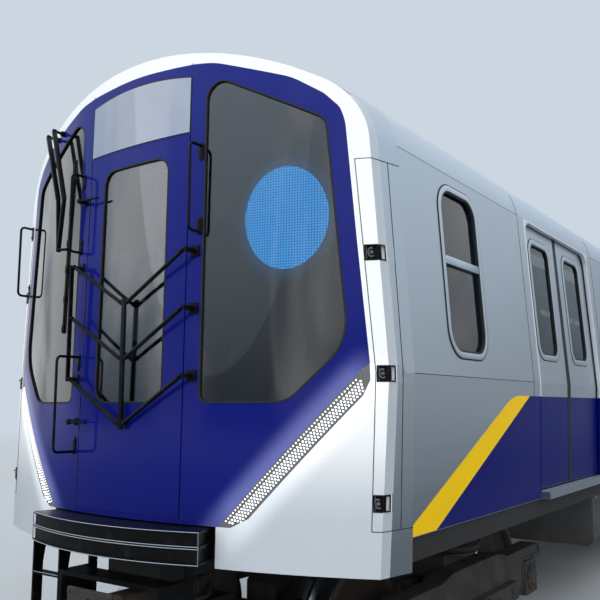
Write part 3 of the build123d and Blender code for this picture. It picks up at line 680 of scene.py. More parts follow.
@cache
def blue_enamel():
    """Polyurethane enamel on moulded glass fibre: deep glossy blue, with a painted glow beside the lit strips
    and a painted reflection of the sky that makes it paler towards the top.
    """
    blue = bpy.context.scene.metro_colours.blue
    made, tree, shader = new_material("blue_enamel", {
        "Specular IOR Level": 0.22, "Emission Color": linear("#B4BEFF")})
    place = add_node(tree, "TexCoord").outputs["Object"]
    cloud = add_node(tree, "TexNoise", {"Vector": place, "Scale": 1.6, "Detail": 2})
    # Orange peel of about 3 mm is drawn 12 mm wide.
    peel = add_node(tree, "TexNoise", {"Vector": place, "Scale": 80, "Detail": 1})
    height = add_node(tree, "SeparateXYZ", {0: place}).outputs[2]
    # Paler towards the top: a painted reflection of the sky in the enamel.
    painted_sky_reflection = add_node(tree, "MapRange", {0: height, 1: 1.6, 2: 3.6, 3: 0.0, 4: 1.0})
    pale = add_node(tree, "Mix", {0: painted_sky_reflection.outputs[0], 6: shade(blue, 0.9), 7: linear("#1F2A7C")},
                    data_type="RGBA")
    tone = add_node(tree, "Mix", {0: cloud.outputs[0], 6: pale.outputs[2], 7: shade(blue, 1.3)},
                    data_type="RGBA")
    rough = add_node(tree, "MapRange", {0: cloud.outputs[0], 3: 0.06, 4: 0.14})
    bump = add_node(tree, "Bump", {"Strength": 0.04, "Distance": 0.0008, "Height": peel.outputs[0]})
    # The emission is a painted glow: the light strips' light painted onto the blue enamel.
    tree.links.new(strip_light(tree, place), shader.inputs["Emission Strength"])
    tree.links.new(tone.outputs[2], shader.inputs["Base Color"])
    tree.links.new(rough.outputs[0], shader.inputs["Roughness"])
    tree.links.new(bump.outputs[0], shader.inputs["Normal"])
    return made


@cache
def rim_enamel():
    """The moulded front: white enamel, brushed silver corners low down, grey on its turned-in sides."""
    colours = bpy.context.scene.metro_colours
    made, tree, shader = new_material("white_enamel_and_brushed_corners", {"Emission Color": (1, 1, 1, 1)})
    place = add_node(tree, "TexCoord").outputs["Object"]
    spot = add_node(tree, "SeparateXYZ", {0: place})
    facing = add_node(tree, "SeparateXYZ", {0: add_node(tree, "NewGeometry").outputs["True Normal"]})
    front = add_node(tree, "Math", {0: facing.outputs[1], 1: -0.6}, operation="LESS_THAN")
    # From 1.72 m down to 1.20 m the white fades into brushed steel; on the corner panels this white top is
    # partly the rim's paint and partly a painted highlight.
    low = add_node(tree, "MapRange", {0: spot.outputs[2], 1: 1.72, 2: 1.20, 3: 0.0, 4: 1.0},
                   interpolation_type="SMOOTHSTEP")
    # Brushing grit of 0.3 mm is drawn 3 mm wide.
    grit = add_node(tree, "TexNoise", {"Vector": place, "Scale": 330, "Detail": 2})
    dark, bright = shade(colours.silver, 0.82), shade(colours.silver, 1.18)
    steel = add_node(tree, "Mix", {0: grit.outputs[0], 6: dark, 7: bright}, data_type="RGBA")
    face = add_node(tree, "Mix", {0: low.outputs[0], 6: colours.white, 7: steel.outputs[2]}, data_type="RGBA")
    # The turned-in part beyond the fold is grey; the windscreens' reveals are pale grey, and the faces within
    # 0.46 m of the middle, round the door, are black as painted shade in the gap.
    across = add_node(tree, "Math", {0: spot.outputs[0]}, operation="ABSOLUTE")
    outer = add_node(tree, "Math", {0: across.outputs[0], 1: 1.27}, operation="GREATER_THAN")
    high = add_node(tree, "Math", {0: spot.outputs[2], 1: 3.52}, operation="GREATER_THAN")
    edge = add_node(tree, "Math", {0: outer.outputs[0], 1: high.outputs[0]}, operation="MAXIMUM")
    reveal = add_node(tree, "Math", {0: across.outputs[0], 1: STRIP_HALF + 0.05}, operation="GREATER_THAN")
    inner = add_node(tree, "Mix", {0: reveal.outputs[0], 6: linear("#101114"), 7: linear("#7B838B")},
                     data_type="RGBA")
    turned = add_node(tree, "Mix", {0: edge.outputs[0], 6: inner.outputs[2], 7: shade(colours.silver, 0.95)},
                      data_type="RGBA")
    tone = add_node(tree, "Mix", {0: front.outputs[0], 6: turned.outputs[2], 7: face.outputs[2]},
                    data_type="RGBA")
    steely = add_node(tree, "Mix", {0: front.outputs[0], 2: edge.outputs[0], 3: low.outputs[0]})
    metal = add_node(tree, "Math", {0: steely.outputs[0], 1: 0.2}, operation="MULTIPLY")
    # The emission is a painted glow: the light strips' light painted onto the white face.
    shine = add_node(tree, "Math", {0: strip_light(tree, place), 1: front.outputs[0]}, operation="MULTIPLY")
    rough = add_node(tree, "MapRange", {0: low.outputs[0], 3: 0.22, 4: 0.38})
    bump = add_node(tree, "Bump", {"Strength": 0.1, "Distance": 0.0005, "Height": grit.outputs[0]})
    tree.links.new(tone.outputs[2], shader.inputs["Base Color"])
    tree.links.new(metal.outputs[0], shader.inputs["Metallic"])
    tree.links.new(shine.outputs[0], shader.inputs["Emission Strength"])
    tree.links.new(rough.outputs[0], shader.inputs["Roughness"])
    tree.links.new(bump.outputs[0], shader.inputs["Normal"])
    return made


def film(name, colour):
    """Cast vinyl livery film, smooth and satin, with a breath of dust at its foot."""
    made, tree, shader = new_material(name, {"Specular IOR Level": 0.06})
    place = add_node(tree, "TexCoord").outputs["Object"]
    height = add_node(tree, "SeparateXYZ", {0: place}).outputs[2]
    cloud = add_node(tree, "TexNoise", {"Vector": place, "Scale": 2.2, "Detail": 4})
    tone = add_node(tree, "Mix", {0: cloud.outputs[0], 6: shade(colour, 0.93), 7: shade(colour, 1.08)},
                    data_type="RGBA")
    dust = add_node(tree, "MapRange", {0: height, 1: 1.4, 2: 1.1, 3: 0.0, 4: 0.05})
    tinted_low_down = add_node(tree, "Mix", {0: dust.outputs[0], 6: tone.outputs[2], 7: linear("#6E6A64")},
                     data_type="RGBA")
    rough = add_node(tree, "MapRange", {0: cloud.outputs[0], 3: 0.24, 4: 0.4})
    tree.links.new(tinted_low_down.outputs[2], shader.inputs["Base Color"])
    tree.links.new(rough.outputs[0], shader.inputs["Roughness"])
    return made


@cache
def blue_film():
    """The blue band of the sides."""
    return film("blue_vinyl_film", bpy.context.scene.metro_colours.blue)


@cache
def yellow_film():
    """The yellow stripe behind the cab."""
    return film("yellow_vinyl_film", bpy.context.scene.metro_colours.yellow)


@cache
def white_highlight_paint():
    """White enamel of small folded plates, as on the rim of the face; on the corner brackets' end plates this
    white is a painted highlight.
    """
    return film("white_enamel_painted_highlight", bpy.context.scene.metro_colours.white)


@cache
def case_paint():
    """Grey two-pack paint on pressed equipment cases, splashed brown low down."""
    made, tree, shader = new_material("road_stained_grey_paint", {"IOR": 1.5})
    place = add_node(tree, "TexCoord").outputs["Object"]
    height = add_node(tree, "SeparateXYZ", {0: place}).outputs[2]
    stain = add_node(tree, "TexNoise", {"Vector": place, "Scale": 6, "Detail": 6})
    low = add_node(tree, "MapRange", {0: height, 1: 1.0, 2: 0.45, 3: -0.2, 4: 0.55})
    amount = add_node(tree, "Math", {0: stain.outputs[0], 1: 0.7, 2: low.outputs[0]},
                      operation="MULTIPLY_ADD", use_clamp=True)
    tone = add_node(tree, "Mix", {0: amount.outputs[0], 6: linear("#565C62"), 7: linear("#3B3631")},
                    data_type="RGBA")
    rough = add_node(tree, "MapRange", {0: stain.outputs[0], 3: 0.42, 4: 0.7})
    tree.links.new(tone.outputs[2], shader.inputs["Base Color"])
    tree.links.new(rough.outputs[0], shader.inputs["Roughness"])
    return made


@cache
def floor_covering():
    """Speckled rubber flooring above, dark stained paint below, and bright steel on the door sills."""
    made, tree, shader = new_material("rubber_floor_on_painted_underframe", {"IOR": 1.5})
    place = add_node(tree, "TexCoord").outputs["Object"]
    spot = add_node(tree, "SeparateXYZ", {0: place})
    height = spot.outputs[2]
    across = add_node(tree, "Math", {0: spot.outputs[0]}, operation="ABSOLUTE")
    outer = add_node(tree, "Math", {0: across.outputs[0], 1: WAIST_HALF - 0.085}, operation="GREATER_THAN")
    above = add_node(tree, "Math", {0: height, 1: SKIRT - 0.001}, operation="GREATER_THAN")
    sill = add_node(tree, "Math", {0: outer.outputs[0], 1: above.outputs[0]}, operation="MULTIPLY")
    up = add_node(tree, "SeparateXYZ", {0: add_node(tree, "NewGeometry").outputs["True Normal"]}).outputs[2]
    top = add_node(tree, "Math", {0: up, 1: 0.9}, operation="GREATER_THAN")
    inside = add_node(tree, "Math", {0: height, 1: FLOOR_TOP - 0.003}, operation="GREATER_THAN")
    covered = add_node(tree, "Math", {0: top.outputs[0], 1: inside.outputs[0]}, operation="MULTIPLY")
    # Flecks of 2 mm are drawn 8 mm wide.
    flecks = add_node(tree, "TexVoronoi", {"Vector": place, "Scale": 120})
    fleck = add_node(tree, "Mix", {0: flecks.outputs["Color"], 6: linear("#4A4D52"), 7: linear("#8C9096")},
                     data_type="RGBA")
    stain = add_node(tree, "TexNoise", {"Vector": place, "Scale": 4, "Detail": 6})
    under = add_node(tree, "Mix", {0: stain.outputs[0], 6: linear("#191A1C"), 7: linear("#2C2925")},
                     data_type="RGBA")
    matt = add_node(tree, "Mix", {0: covered.outputs[0], 6: under.outputs[2], 7: fleck.outputs[2]},
                    data_type="RGBA")
    tone = add_node(tree, "Mix", {0: sill.outputs[0], 6: matt.outputs[2], 7: linear("#C4CACF")},
                    data_type="RGBA")
    soft = add_node(tree, "MapRange", {0: stain.outputs[0], 3: 0.5, 4: 0.75})
    rough = add_node(tree, "Mix", {0: sill.outputs[0], 2: soft.outputs[0], 3: 0.3})
    tree.links.new(sill.outputs[0], shader.inputs["Metallic"])
    tree.links.new(tone.outputs[2], shader.inputs["Base Color"])
    tree.links.new(rough.outputs[0], shader.inputs["Roughness"])
    return made


# Rubber and plastics

@cache
def rubber():
    """Extruded black rubber of seals, springs and hoses: soft sheen, chalky with age."""
    return two_tone("aged_black_rubber", {"IOR": 1.52}, (24, 4), ("#0E0F10", "#1F2123"), (0.48, 0.72))


@cache
def seat_plastic():
    """Glass-filled moulded plastic of the benches: tough blue-grey shell, lightly textured."""
    # Moulded grain of 0.6 mm is drawn 3 mm wide.
    return two_tone("moulded_bench_plastic", {"IOR": 1.5}, (3, 3), ("#2E4F86", "#3C629C"), (0.3, 0.5),
                    grain=("TexVoronoi", {"Scale": 330}, 0.15, 0.0005))


@cache
def lining_laminate():
    """Melamine-faced lining panels: warm white with a faint fleck."""
    return two_tone("white_lining_laminate", {"IOR": 1.5}, (160, 2), ("#C9CCCB", "#DDDFDD"), (0.34, 0.46))


@cache
def console_plastic():
    """Textured ABS of the driver's desk: dark grey, matt, fine leather-like grain."""
    return two_tone("textured_dark_abs", {"IOR": 1.53}, (7, 3), ("#26292C", "#34383C"), (0.5, 0.66),
                    grain=("TexVoronoi", {"Scale": 420}, 0.2, 0.0005))


@cache
def lamp_housing():
    """Dark grey moulded polycarbonate round the lamps."""
    return two_tone("grey_polycarbonate", {"IOR": 1.58}, (18, 3), ("#5B5D5E", "#6B6D6E"), (0.3, 0.45))


@cache
def seat_cloth():
    """Flat-woven wool moquette of the driver's seat: soft sheen and a small two-tone weave."""
    made, tree, shader = new_material("wool_moquette", {
        "Sheen Weight": 0.5, "Sheen Roughness": 0.4, "Roughness": 0.9})
    place = add_node(tree, "TexCoord").outputs["Object"]
    # Threads 1 mm apart are drawn 5 mm apart.
    weave = add_node(tree, "TexChecker", {"Vector": place, "Scale": 200,
                                          "Color1": linear("#27324A"), "Color2": linear("#35425E")})
    fuzz = add_node(tree, "TexNoise", {"Vector": place, "Scale": 240, "Detail": 3})
    tone = add_node(tree, "Mix", {0: fuzz.outputs[0], 6: weave.outputs[0], 7: linear("#3B4358")},
                    data_type="RGBA")
    bump = add_node(tree, "Bump", {"Strength": 0.4, "Distance": 0.001, "Height": fuzz.outputs[0]})
    tree.links.new(tone.outputs[2], shader.inputs["Base Color"])
    tree.links.new(bump.outputs[0], shader.inputs["Normal"])
    return made


# Glass and lamps

def pane(name, tint, rough, coat, ior=1.52):
    """Toughened tinted glass with a reflecting sun coat: clear gloss with a breath of dust."""
    made, tree, shader = new_material(name, {
        "IOR": ior, "Transmission Weight": 1.0, "Coat Weight": 1.0, "Coat Roughness": 0.01, "Coat IOR": coat})
    place = add_node(tree, "TexCoord").outputs["Object"]
    dust = add_node(tree, "TexNoise", {"Vector": place, "Scale": 3, "Detail": 6})
    tone = add_node(tree, "Mix", {0: dust.outputs[0], 6: shade(tint, 0.92), 7: shade(tint, 1.1)},
                    data_type="RGBA")
    haze = add_node(tree, "MapRange", {0: dust.outputs[0], 1: 0.4, 2: 0.8, 3: 0.0, 4: rough})
    tree.links.new(tone.outputs[2], shader.inputs["Base Color"])
    tree.links.new(haze.outputs[0], shader.inputs["Roughness"])
    return made


@cache
def windscreen_glass():
    """Laminated windscreens with a dark grey tint."""
    return pane("laminated_grey_glass", linear("#4C5258"), 0.02, 1.7)


@cache
def door_glass():
    """The front door's window, clearer than the windscreens beside it."""
    return pane("laminated_clear_grey_glass", linear("#8A9098"), 0.02, 2.2)


@cache
def side_glass():
    """Grey tinted windows of the sides, doors and end."""
    return pane("toughened_grey_glass", linear("#4A4F55"), 0.03, 1.15, 1.3)


def glow(name, colour, strength, off_colour, pitch=0.0):
    """A lit lens or display: emission broken into dots at a real pitch where one is given."""
    made, tree, shader = new_material(name, {"Roughness": 0.3, "Emission Strength": strength})
    place = add_node(tree, "TexCoord").outputs["Object"]
    haze = add_node(tree, "TexNoise", {"Vector": place, "Scale": 30, "Detail": 2})
    lit = add_node(tree, "Mix", {0: haze.outputs[0], 6: shade(colour, 0.92), 7: shade(colour, 1.06)},
                   data_type="RGBA")
    tone = lit
    if pitch:
        flat = add_node(tree, "Mapping", {0: place, "Scale": (1 / pitch, 0, 1 / pitch)})
        cells = add_node(tree, "TexVoronoi", {"Vector": flat.outputs[0], "Scale": 1, "Randomness": 0.0})
        dot = add_node(tree, "MapRange", {0: cells.outputs["Distance"], 1: 0.38, 2: 0.5, 3: 1.0, 4: 0.0})
        tone = add_node(tree, "Mix", {0: dot.outputs[0], 6: off_colour, 7: lit.outputs[2]}, data_type="RGBA")
    tree.links.new(tone.outputs[2], shader.inputs["Base Color"])
    tree.links.new(tone.outputs[2], shader.inputs["Emission Color"])
    return made


@cache
def lamp_lens():
    """White lamps of the light strips, lit."""
    return glow("white_lamp_lens", linear("#FFFFFF"), 1.6, linear("#FFFFFF"))


@cache
def red_lens():
    """Red marker lenses of the rear end, lit low."""
    return glow("red_marker_lens", linear("#B3120F"), 0.7, linear("#B3120F"))


@cache
def screen_glass():
    """Dark glass of the desk's screens, dimly lit and blank."""
    return glow("dark_screen_glass", linear("#16222C"), 0.8, linear("#16222C"))


@cache
def ceiling_diffuser():
    """Opal diffusers of the ceiling lights, lit."""
    return glow("opal_diffuser", linear("#F2F6FA"), 1.4, linear("#F2F6FA"))


@cache
def route_lamp():
    """Blank round route display, closely set with blue lamps."""
    # Lamps 6 mm apart are drawn 14 mm apart.
    colour = bpy.context.scene.metro_colours.route
    return glow("blue_lamp_matrix", colour, 9.0, shade(colour, 0.15), pitch=0.014)


@cache
def sign_face():
    """Blank destination display, its lamps unlit behind a grey screen that glows evenly: painted light."""
    return glow("blank_lamp_matrix", linear("#A4ACBE"), 2.4, linear("#828A9C"), pitch=0.012)


def halo(name, colour, centre, reach, strength):
    """Light that a lamp throws onto the sheet behind it, fading outwards to nothing."""
    made = bpy.data.materials.new(name)
    made.use_nodes = True
    tree = made.node_tree
    tree.nodes.clear()
    place = add_node(tree, "TexCoord").outputs["Object"]
    shift = add_node(tree, "VectorMath", {0: place, 1: centre}, operation="SUBTRACT")
    scaled = add_node(tree, "VectorMath", {0: shift.outputs[0], 1: [1 / r for r in reach]},
                      operation="MULTIPLY")
    far = add_node(tree, "VectorMath", {0: scaled.outputs[0]}, operation="LENGTH")
    fade = add_node(tree, "MapRange", {0: far.outputs["Value"], 1: 0.7, 2: 1.0, 3: 1.0, 4: 0.0},
                    interpolation_type="SMOOTHERSTEP")
    light = add_node(tree, "Emission", {0: colour, 1: strength})
    clear = add_node(tree, "BsdfTransparent")
    mix = add_node(tree, "MixShader", {0: fade.outputs[0], 1: clear.outputs[0], 2: light.outputs[0]})
    add_node(tree, "OutputMaterial", {0: mix.outputs[0]})
    return made


def pale_floor():
    """Pale matt studio floor that fades into the backdrop far away."""
    settings = bpy.context.scene.metro_stage
    made, tree, shader = new_material("pale_floor", {"Roughness": 0.8, "Specular IOR Level": 0.1})
    place = add_node(tree, "TexCoord").outputs["Object"]
    cloud = add_node(tree, "TexNoise", {"Vector": place, "Scale": 0.5, "Detail": 2})
    tone = add_node(tree, "Mix", {0: cloud.outputs[0], 6: shade(settings.floor, 0.98), 7: settings.floor},
                    data_type="RGBA")
    # Shiny pieces see a darker ground than the camera does.
    glossy = add_node(tree, "LightPath").outputs["Is Glossy Ray"]
    ground = add_node(tree, "Mix", {0: glossy, 6: tone.outputs[2], 7: linear("#72797F")}, data_type="RGBA")
    tree.links.new(ground.outputs[2], shader.inputs["Base Color"])
    far = add_node(tree, "VectorMath", {0: place}, operation="LENGTH")
    fade = add_node(tree, "MapRange", {0: far.outputs["Value"], 1: 14, 2: 60, 3: 0.0, 4: 1.0},
                    interpolation_type="SMOOTHSTEP")
    backdrop = add_node(tree, "Emission", {0: settings.backdrop, 1: 1.0})
    mix = add_node(tree, "MixShader", {0: fade.outputs[0], 1: shader.outputs[0], 2: backdrop.outputs[0]})
    tree.links.new(mix.outputs[0], tree.nodes["Material Output"].inputs[0])
    return made


# Outlines on the cab front, in front view: across and up

def moved_out(points, amount):
    """An outline with its edges moved out by an amount, its corners left sharp."""
    flat = [Vector(p) for p in points]
    area = sum(a.x * b.y - b.x * a.y for a, b in zip(flat, flat[1:] + flat[:1]))
    turn = amount if area > 0 else -amount
    moved = []
    for before, here, after in zip(flat[-1:] + flat[:-1], flat, flat[1:] + flat[:1]):
        u, w = (here - before).normalized(), (after - here).normalized()
        n, m = Vector((u.y, -u.x)), Vector((w.y, -w.x))
        moved.append(here + (n + m) * (turn / (1 + n.dot(m))))
    return moved


def windscreen(grow=0.0):
    """One windscreen's outline, its lower outer corner swept up."""
    inner, outer, low, high = STRIP_HALF + 0.097, WAIST_HALF, RAIL + 1.766, RAIL + 3.44
    corners = [
        (inner, low), (outer - 0.505, low), (outer - 0.219, low + 0.2845),
        (outer - 0.325, high - 0.24), (inner + 0.083, high + 0.06), (inner, high),
    ]
    corners = [(p.x, p.y) for p in moved_out(corners, grow)]
    return rounded(front_view(corners), [r + grow for r in (0.05, 0.16, 0.28, 0.09, 0.14, 0.10)], 8)


def door_window(grow=0.0):
    """The outline of the front door's window."""
    half, low, high = STRIP_HALF - 0.145, RAIL + 1.766, RAIL + 3.112
    corners = moved_out([(-half, low), (half, low), (half - 0.003, high), (0.003 - half, high)], grow)
    return rounded(front_view([(p.x, p.y) for p in corners]), 0.085 + grow, 8)


def sign_outline(grow=0.0):
    """The outline of the sign over the door, its top arched like the roof."""
    half, low, high, rise = STRIP_HALF - 0.005, RAIL + 3.226, RAIL + 3.546, 0.038
    arch = [(half * (1 - i / 8), high + rise * (1 - (1 - i / 8) ** 2)) for i in range(17)]
    corners = moved_out([(-half, low), (half, low), *arch], grow)
    return front_view([(p.x, p.y) for p in corners])


class METRO_OT_finishes(bpy.types.Operator):
    """Gives every kept node of the frame its real material"""

    bl_idname = "metro.finishes"
    bl_label = "Frame finishes"

    def execute(self, context):
        table = {
            brushed_stainless: ["side_panels_left", "side_panels_right", "cant_rails", "roof", "cab_shell",
                                "rear_end_wall", "rear_door"],
            rim_enamel: ["front_mask"],
            blue_enamel: ["front_door"],
            windscreen_glass: ["front_glass"],
            door_glass: ["front_door_glass"],
            side_glass: ["body_glass"],
            lamp_housing: ["light_strips"],
            black_powder_coat: ["corner_brackets", "anticlimbers", "end_steps", "gate_brackets",
                                "door_latches", "wiper"],
            truck_steel: ["truck_frame_front", "truck_frame_rear", "axle_boxes_front", "axle_boxes_rear",
                          "coupler_front", "coupler_rear"],
            floor_covering: ["floor_frame"],
            lining_laminate: ["ceiling", "cab_partition", "cab_door"],
            ceiling_diffuser: ["ceiling_lights"],
            console_plastic: ["driver_console", "driver_seat"],
            seat_plastic: ["benches"],
            polished_steel: ["stanchions", "wheelset_front_1", "wheelset_front_2", "wheelset_rear_1",
                             "wheelset_rear_2"],
            case_paint: ["underfloor_cases"],
        }
        for build, nodes in table.items():
            for name in nodes:
                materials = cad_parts[name].data.materials
                materials.clear()
                materials.append(build())
        for name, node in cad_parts.items():
            if "_door_" in name and name.startswith(("left", "right")):
                node.data.materials.clear()
                node.data.materials.append(brushed_stainless())
        return {"FINISHED"}


class METRO_OT_front_paint(bpy.types.Operator):
    """Paints the blue face: a half beside each side of the door, and the part over the sign"""

    bl_idname = "metro.front_paint"
    bl_label = "Blue face"

    def execute(self, context):
        thick = (0, -context.scene.metro_sizes.film - 0.0005, 0)
        seam = 0.0003
        edge = [
            (STRIP_HALF + seam, NOSE_FOOT), (0.640, NOSE_FOOT),
            (1.3355, 1.926 + RAIL), (1.3665, 1.951 + RAIL), (1.311, 2.554 + RAIL), (1.258, 3.174 + RAIL),
            (1.233, 3.250 + RAIL), (1.156, 3.332 + RAIL), (0.992, 3.441 + RAIL), (0.548, 3.600 + RAIL),
            (STRIP_HALF + seam, 3.618 + RAIL),
        ]
        radii = [0, 0, 0, 0, 0.5, 0.3, 0.1, 0.15, 0.4, 0.5, 0]
        half = plate(rounded(front_view(edge, 0.0005), radii, 5), thick)
        cut(half, plate(shifted(windscreen(), y=0.02), (0, -0.05, 0)))
        for piece, word in ((half, "left"), (mirrored(half), "right")):
            finish(onto_front(piece), f"blue_face_{word}", blue_enamel())
        reach = STRIP_HALF - seam
        top = four(-reach, 3.213 + RAIL, reach, 3.618 + RAIL)
        top.insert(3, (0, 3.640 + RAIL))
        over = plate(rounded(front_view(top, 0.0005), [0, 0, 0, 3.0, 0], 8), thick)
        cut(over, plate(shifted(sign_outline(0.0015), y=0.02), (0, -0.05, 0)))
        finish(onto_front(over), "blue_face_top", blue_enamel())
        foot = plate(front_view(four(-reach, NOSE_FOOT, reach, 1.1835 + RAIL), 0.0005), thick)
        finish(onto_front(foot), "blue_face_foot", blue_enamel())
        return {"FINISHED"}


class METRO_OT_front_seals(bpy.types.Operator):
    """Rubber round the windscreens, the door's window and the sign, and in the joints of the face"""

    bl_idname = "metro.front_seals"
    bl_label = "Front seals"

    def execute(self, context):
        sizes = context.scene.metro_sizes
        proud = 0.002

        def seal(outline):
            return ring(shifted(outline, y=0.009), sizes.gasket, (0, -0.009 - proud, 0), 0.0012)

        left = seal(windscreen(0.005))
        finish(onto_front(mirrored(left)), "windscreen_seal_right", rubber())
        finish(onto_front(left), "windscreen_seal_left", rubber())
        finish(onto_front(seal(door_window(0.005))), "door_window_seal", rubber(), "front_door")
        sign = ring(sign_outline(0.002), 0.006, (0, -0.0035, 0), 0.0008)
        finish(onto_front(sign), "sign_seal", rubber())
        lines = []
        for side in (-1, 1):
            x = side * STRIP_HALF
            for low, high in ((NOSE_FOOT, NOSE_FOOT + 0.02), (3.216 + RAIL, 3.628 + RAIL)):
                lines.append(tube(on_front([(x, low), (x, high)], -0.0005), sizes.seam))
        finish(join(lines), "face_joints", rubber())
        return {"FINISHED"}


class METRO_OT_front_displays(bpy.types.Operator):
    """The blank destination display, and the blank lit route disc behind the windscreen"""

    bl_idname = "metro.front_displays"
    bl_label = "Displays"

    def execute(self, context):
        route = context.scene.metro_colours.route
        board = plate(shifted(sign_outline(), y=-0.0003), (0, -0.0009, 0))
        finish(onto_front(board), "sign_display", sign_face())
        cover = plate(shifted(sign_outline(), y=-0.0014), (0, -0.0016, 0))
        finish(onto_front(cover), "sign_cover", door_glass())
        centre, reach = Vector((0.953, 0, 2.700 + RAIL)), (0.214, 0.2685)
        turns = [2 * math.pi * i / 64 for i in range(64)]
        rim = [centre + Vector((reach[0] * math.cos(a), 0.024, reach[1] * math.sin(a))) for a in turns]
        disc = plate(rim, (0, 0.004, 0))
        finish(onto_front(disc), "route_display", route_lamp())
        spread = 1.32
        wide = [centre + (p - centre) * spread for p in rim]
        back = onto_front(plate([Vector((p.x, 0.030, p.z)) for p in wide], (0, 0.001, 0)))
        middle = (centre.x, front_y(centre.x, centre.z), centre.z)
        extent = (reach[0] * spread, 1, reach[1] * spread)
        blur = halo("blue_lamp_halo", shade(route, 0.8), middle, extent, 0.9)
        finish(back, "route_display_halo", blur)
        return {"FINISHED"}


class METRO_OT_light_strips(bpy.types.Operator):
    """Rows of round lamps in the two slanting housings"""

    bl_idname = "metro.light_strips"
    bl_label = "Light strips"

    def execute(self, context):
        pitch = context.scene.metro_sizes.lamp_pitch
        # Distance from the upper edge, first and last place along it, and radius of the lamps in each row
        rows = [
            (0.015, 0.045, 1.010, 0.0042), (0.034, 0.050, 1.020, 0.0052), (0.047, 0.060, 1.015, 0.0052),
            (0.060, 0.075, 1.005, 0.0052), (0.073, 0.095, 0.985, 0.0048),
        ]
        strips = []
        for number, (depth, first, last, radius) in enumerate(rows):
            shift = (first // pitch + 1) * pitch + (pitch / 2 if number % 2 else 0)
            place = STRIP_START + STRIP_INWARD * depth + STRIP_ALONG * shift
            bpy.ops.object.select_all(action="DESELECT")
            bpy.ops.mesh.primitive_uv_sphere_add(segments=8, ring_count=6, radius=radius, location=place)
            lamp = bpy.context.object
            bpy.ops.object.transform_apply(location=True, rotation=True, scale=True)
            edit(lamp)
            bpy.ops.mesh.bisect(plane_co=place, plane_no=(0, 1, 0), clear_outer=True, use_fill=True)
            close_edit()
            apply_modifier(lamp, "ARRAY", count=int((last - shift) / pitch), use_relative_offset=False,
                           use_constant_offset=True, constant_offset_displace=STRIP_ALONG * pitch)
            strips.append(lamp)
        lamps = join(strips)
        for vertex in lamps.data.vertices:
            vertex.co.y *= 0.8
        for piece, word in ((lamps, "left"), (mirrored(lamps), "right")):
            for vertex in piece.data.vertices:
                vertex.co.y += front_y(vertex.co.x, vertex.co.z)
            finish(piece, f"lamps_{word}", lamp_lens(), smooth=60)
        return {"FINISHED"}


def eye(place, radius, width):
    """A flat round eye on a pin that lies across the car."""
    place = Vector(place)
    reach = Vector((width / 2, 0, 0))
    return rod(place - reach, place + reach, radius, 24, 0.0015)


class METRO_OT_gate(bpy.types.Operator):
    """The folding gate: three Vs of round tube with eyes and pins, and the flat post they carry"""

    bl_idname = "metro.gate"
    bl_label = "Folding gate"

    def execute(self, context):
        radius = context.scene.metro_sizes.gate_tube
        for word in ("upper", "middle", "lower"):
            low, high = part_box(f"gate_arms_{word}")
            y = (low.y + high.y) / 2
            pivot_x, top, foot = high.x, high.z - 0.013, low.z + 0.011
            parts = []
            for side in (-1, 1):
                outer = Vector((side * (pivot_x - 0.006), y, top))
                inner = Vector((side * 0.030, y, foot + 0.006))
                knee = outer + (inner - outer).normalized() * 0.016
                parts.append(tube([knee, inner], radius, sides=4))
                parts.append(eye(outer, radius + 0.002, 0.012))
                parts.append(block((side * 0.0152, side * 0.030), (y - 0.008, y + 0.008),
                                   (foot - 0.010, foot + 0.020), 0.003))
                parts.append(eye((side * 0.0245, y, foot), 0.0085, 0.008))
            arms = finish(join(parts), f"gate_v_{word}", black_powder_coat(), f"gate_arms_{word}")
            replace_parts(arms, f"gate_arms_{word}")
        low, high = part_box("gate_post")
        post = box(low, high, 0.003, 3)
        screws = [rod((0, low.y - 0.0015, z), (0, low.y + 0.004, z), 0.006, 6, 0.0008)
                  for z in (low.z + 0.02, (low.z + high.z) / 2 + 0.04, high.z - 0.02)]
        post = finish(join([post, *screws]), "gate_flat_post", black_powder_coat(), "gate_post")
        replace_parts(post, "gate_post")
        return {"FINISHED"}


class METRO_OT_grab_bars(bpy.types.Operator):
    """Bent round grab bars on the front, each on two round feet"""

    bl_idname = "metro.grab_bars"
    bl_label = "Grab bars"

    def execute(self, context):
        radius = context.scene.metro_sizes.handle_tube
        parts = []
        for low, high in solids("grab_handles"):
            x = (low.x + high.x) / 2
            z0, z1 = low.z + radius, high.z - radius
            stand = low.y + radius
            feet = [Vector((x, front_y(abs(x) - radius, z) - 0.0005, z)) for z in (z0, z1)]
            path = [feet[0], (x, stand, z0), (x, stand, z1), feet[1]]
            parts.append(tube(path, radius, 0.028, sides=5))
            for foot, way in zip(feet, (1, -1)):
                pad = four(x - 0.016, foot.z - 0.016 * way, x + 0.016, foot.z + 0.082 * way)
                pad = plate(rounded(front_view(pad, -0.0005), 0.0155, 5), (0, -0.007, 0))
                parts.append(onto_front(soften(pad, 0.0015)))
                screw = Vector((x, front_y(x, foot.z) - 0.0085, foot.z + 0.060 * way))
                parts.append(rod(screw - Vector((0, 0.003, 0)), screw, 0.007, 6, 0.001))
        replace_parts(finish(join(parts), "grab_bars", black_powder_coat()), "grab_handles")
        return {"FINISHED"}


def bar(start, end, width, thick, edge=0.002):
    """A flat bar between two points, its width across the car and its thickness along it."""
    start, end = Vector(start), Vector(end)
    line = end - start
    piece = box((-width / 2, -thick / 2, -line.length / 2), (width / 2, thick / 2, line.length / 2), edge)
    turn = line.to_track_quat("Z", "Y").to_matrix().to_4x4()
    piece.data.transform(Matrix.Translation((start + end) / 2) @ turn)
    return piece


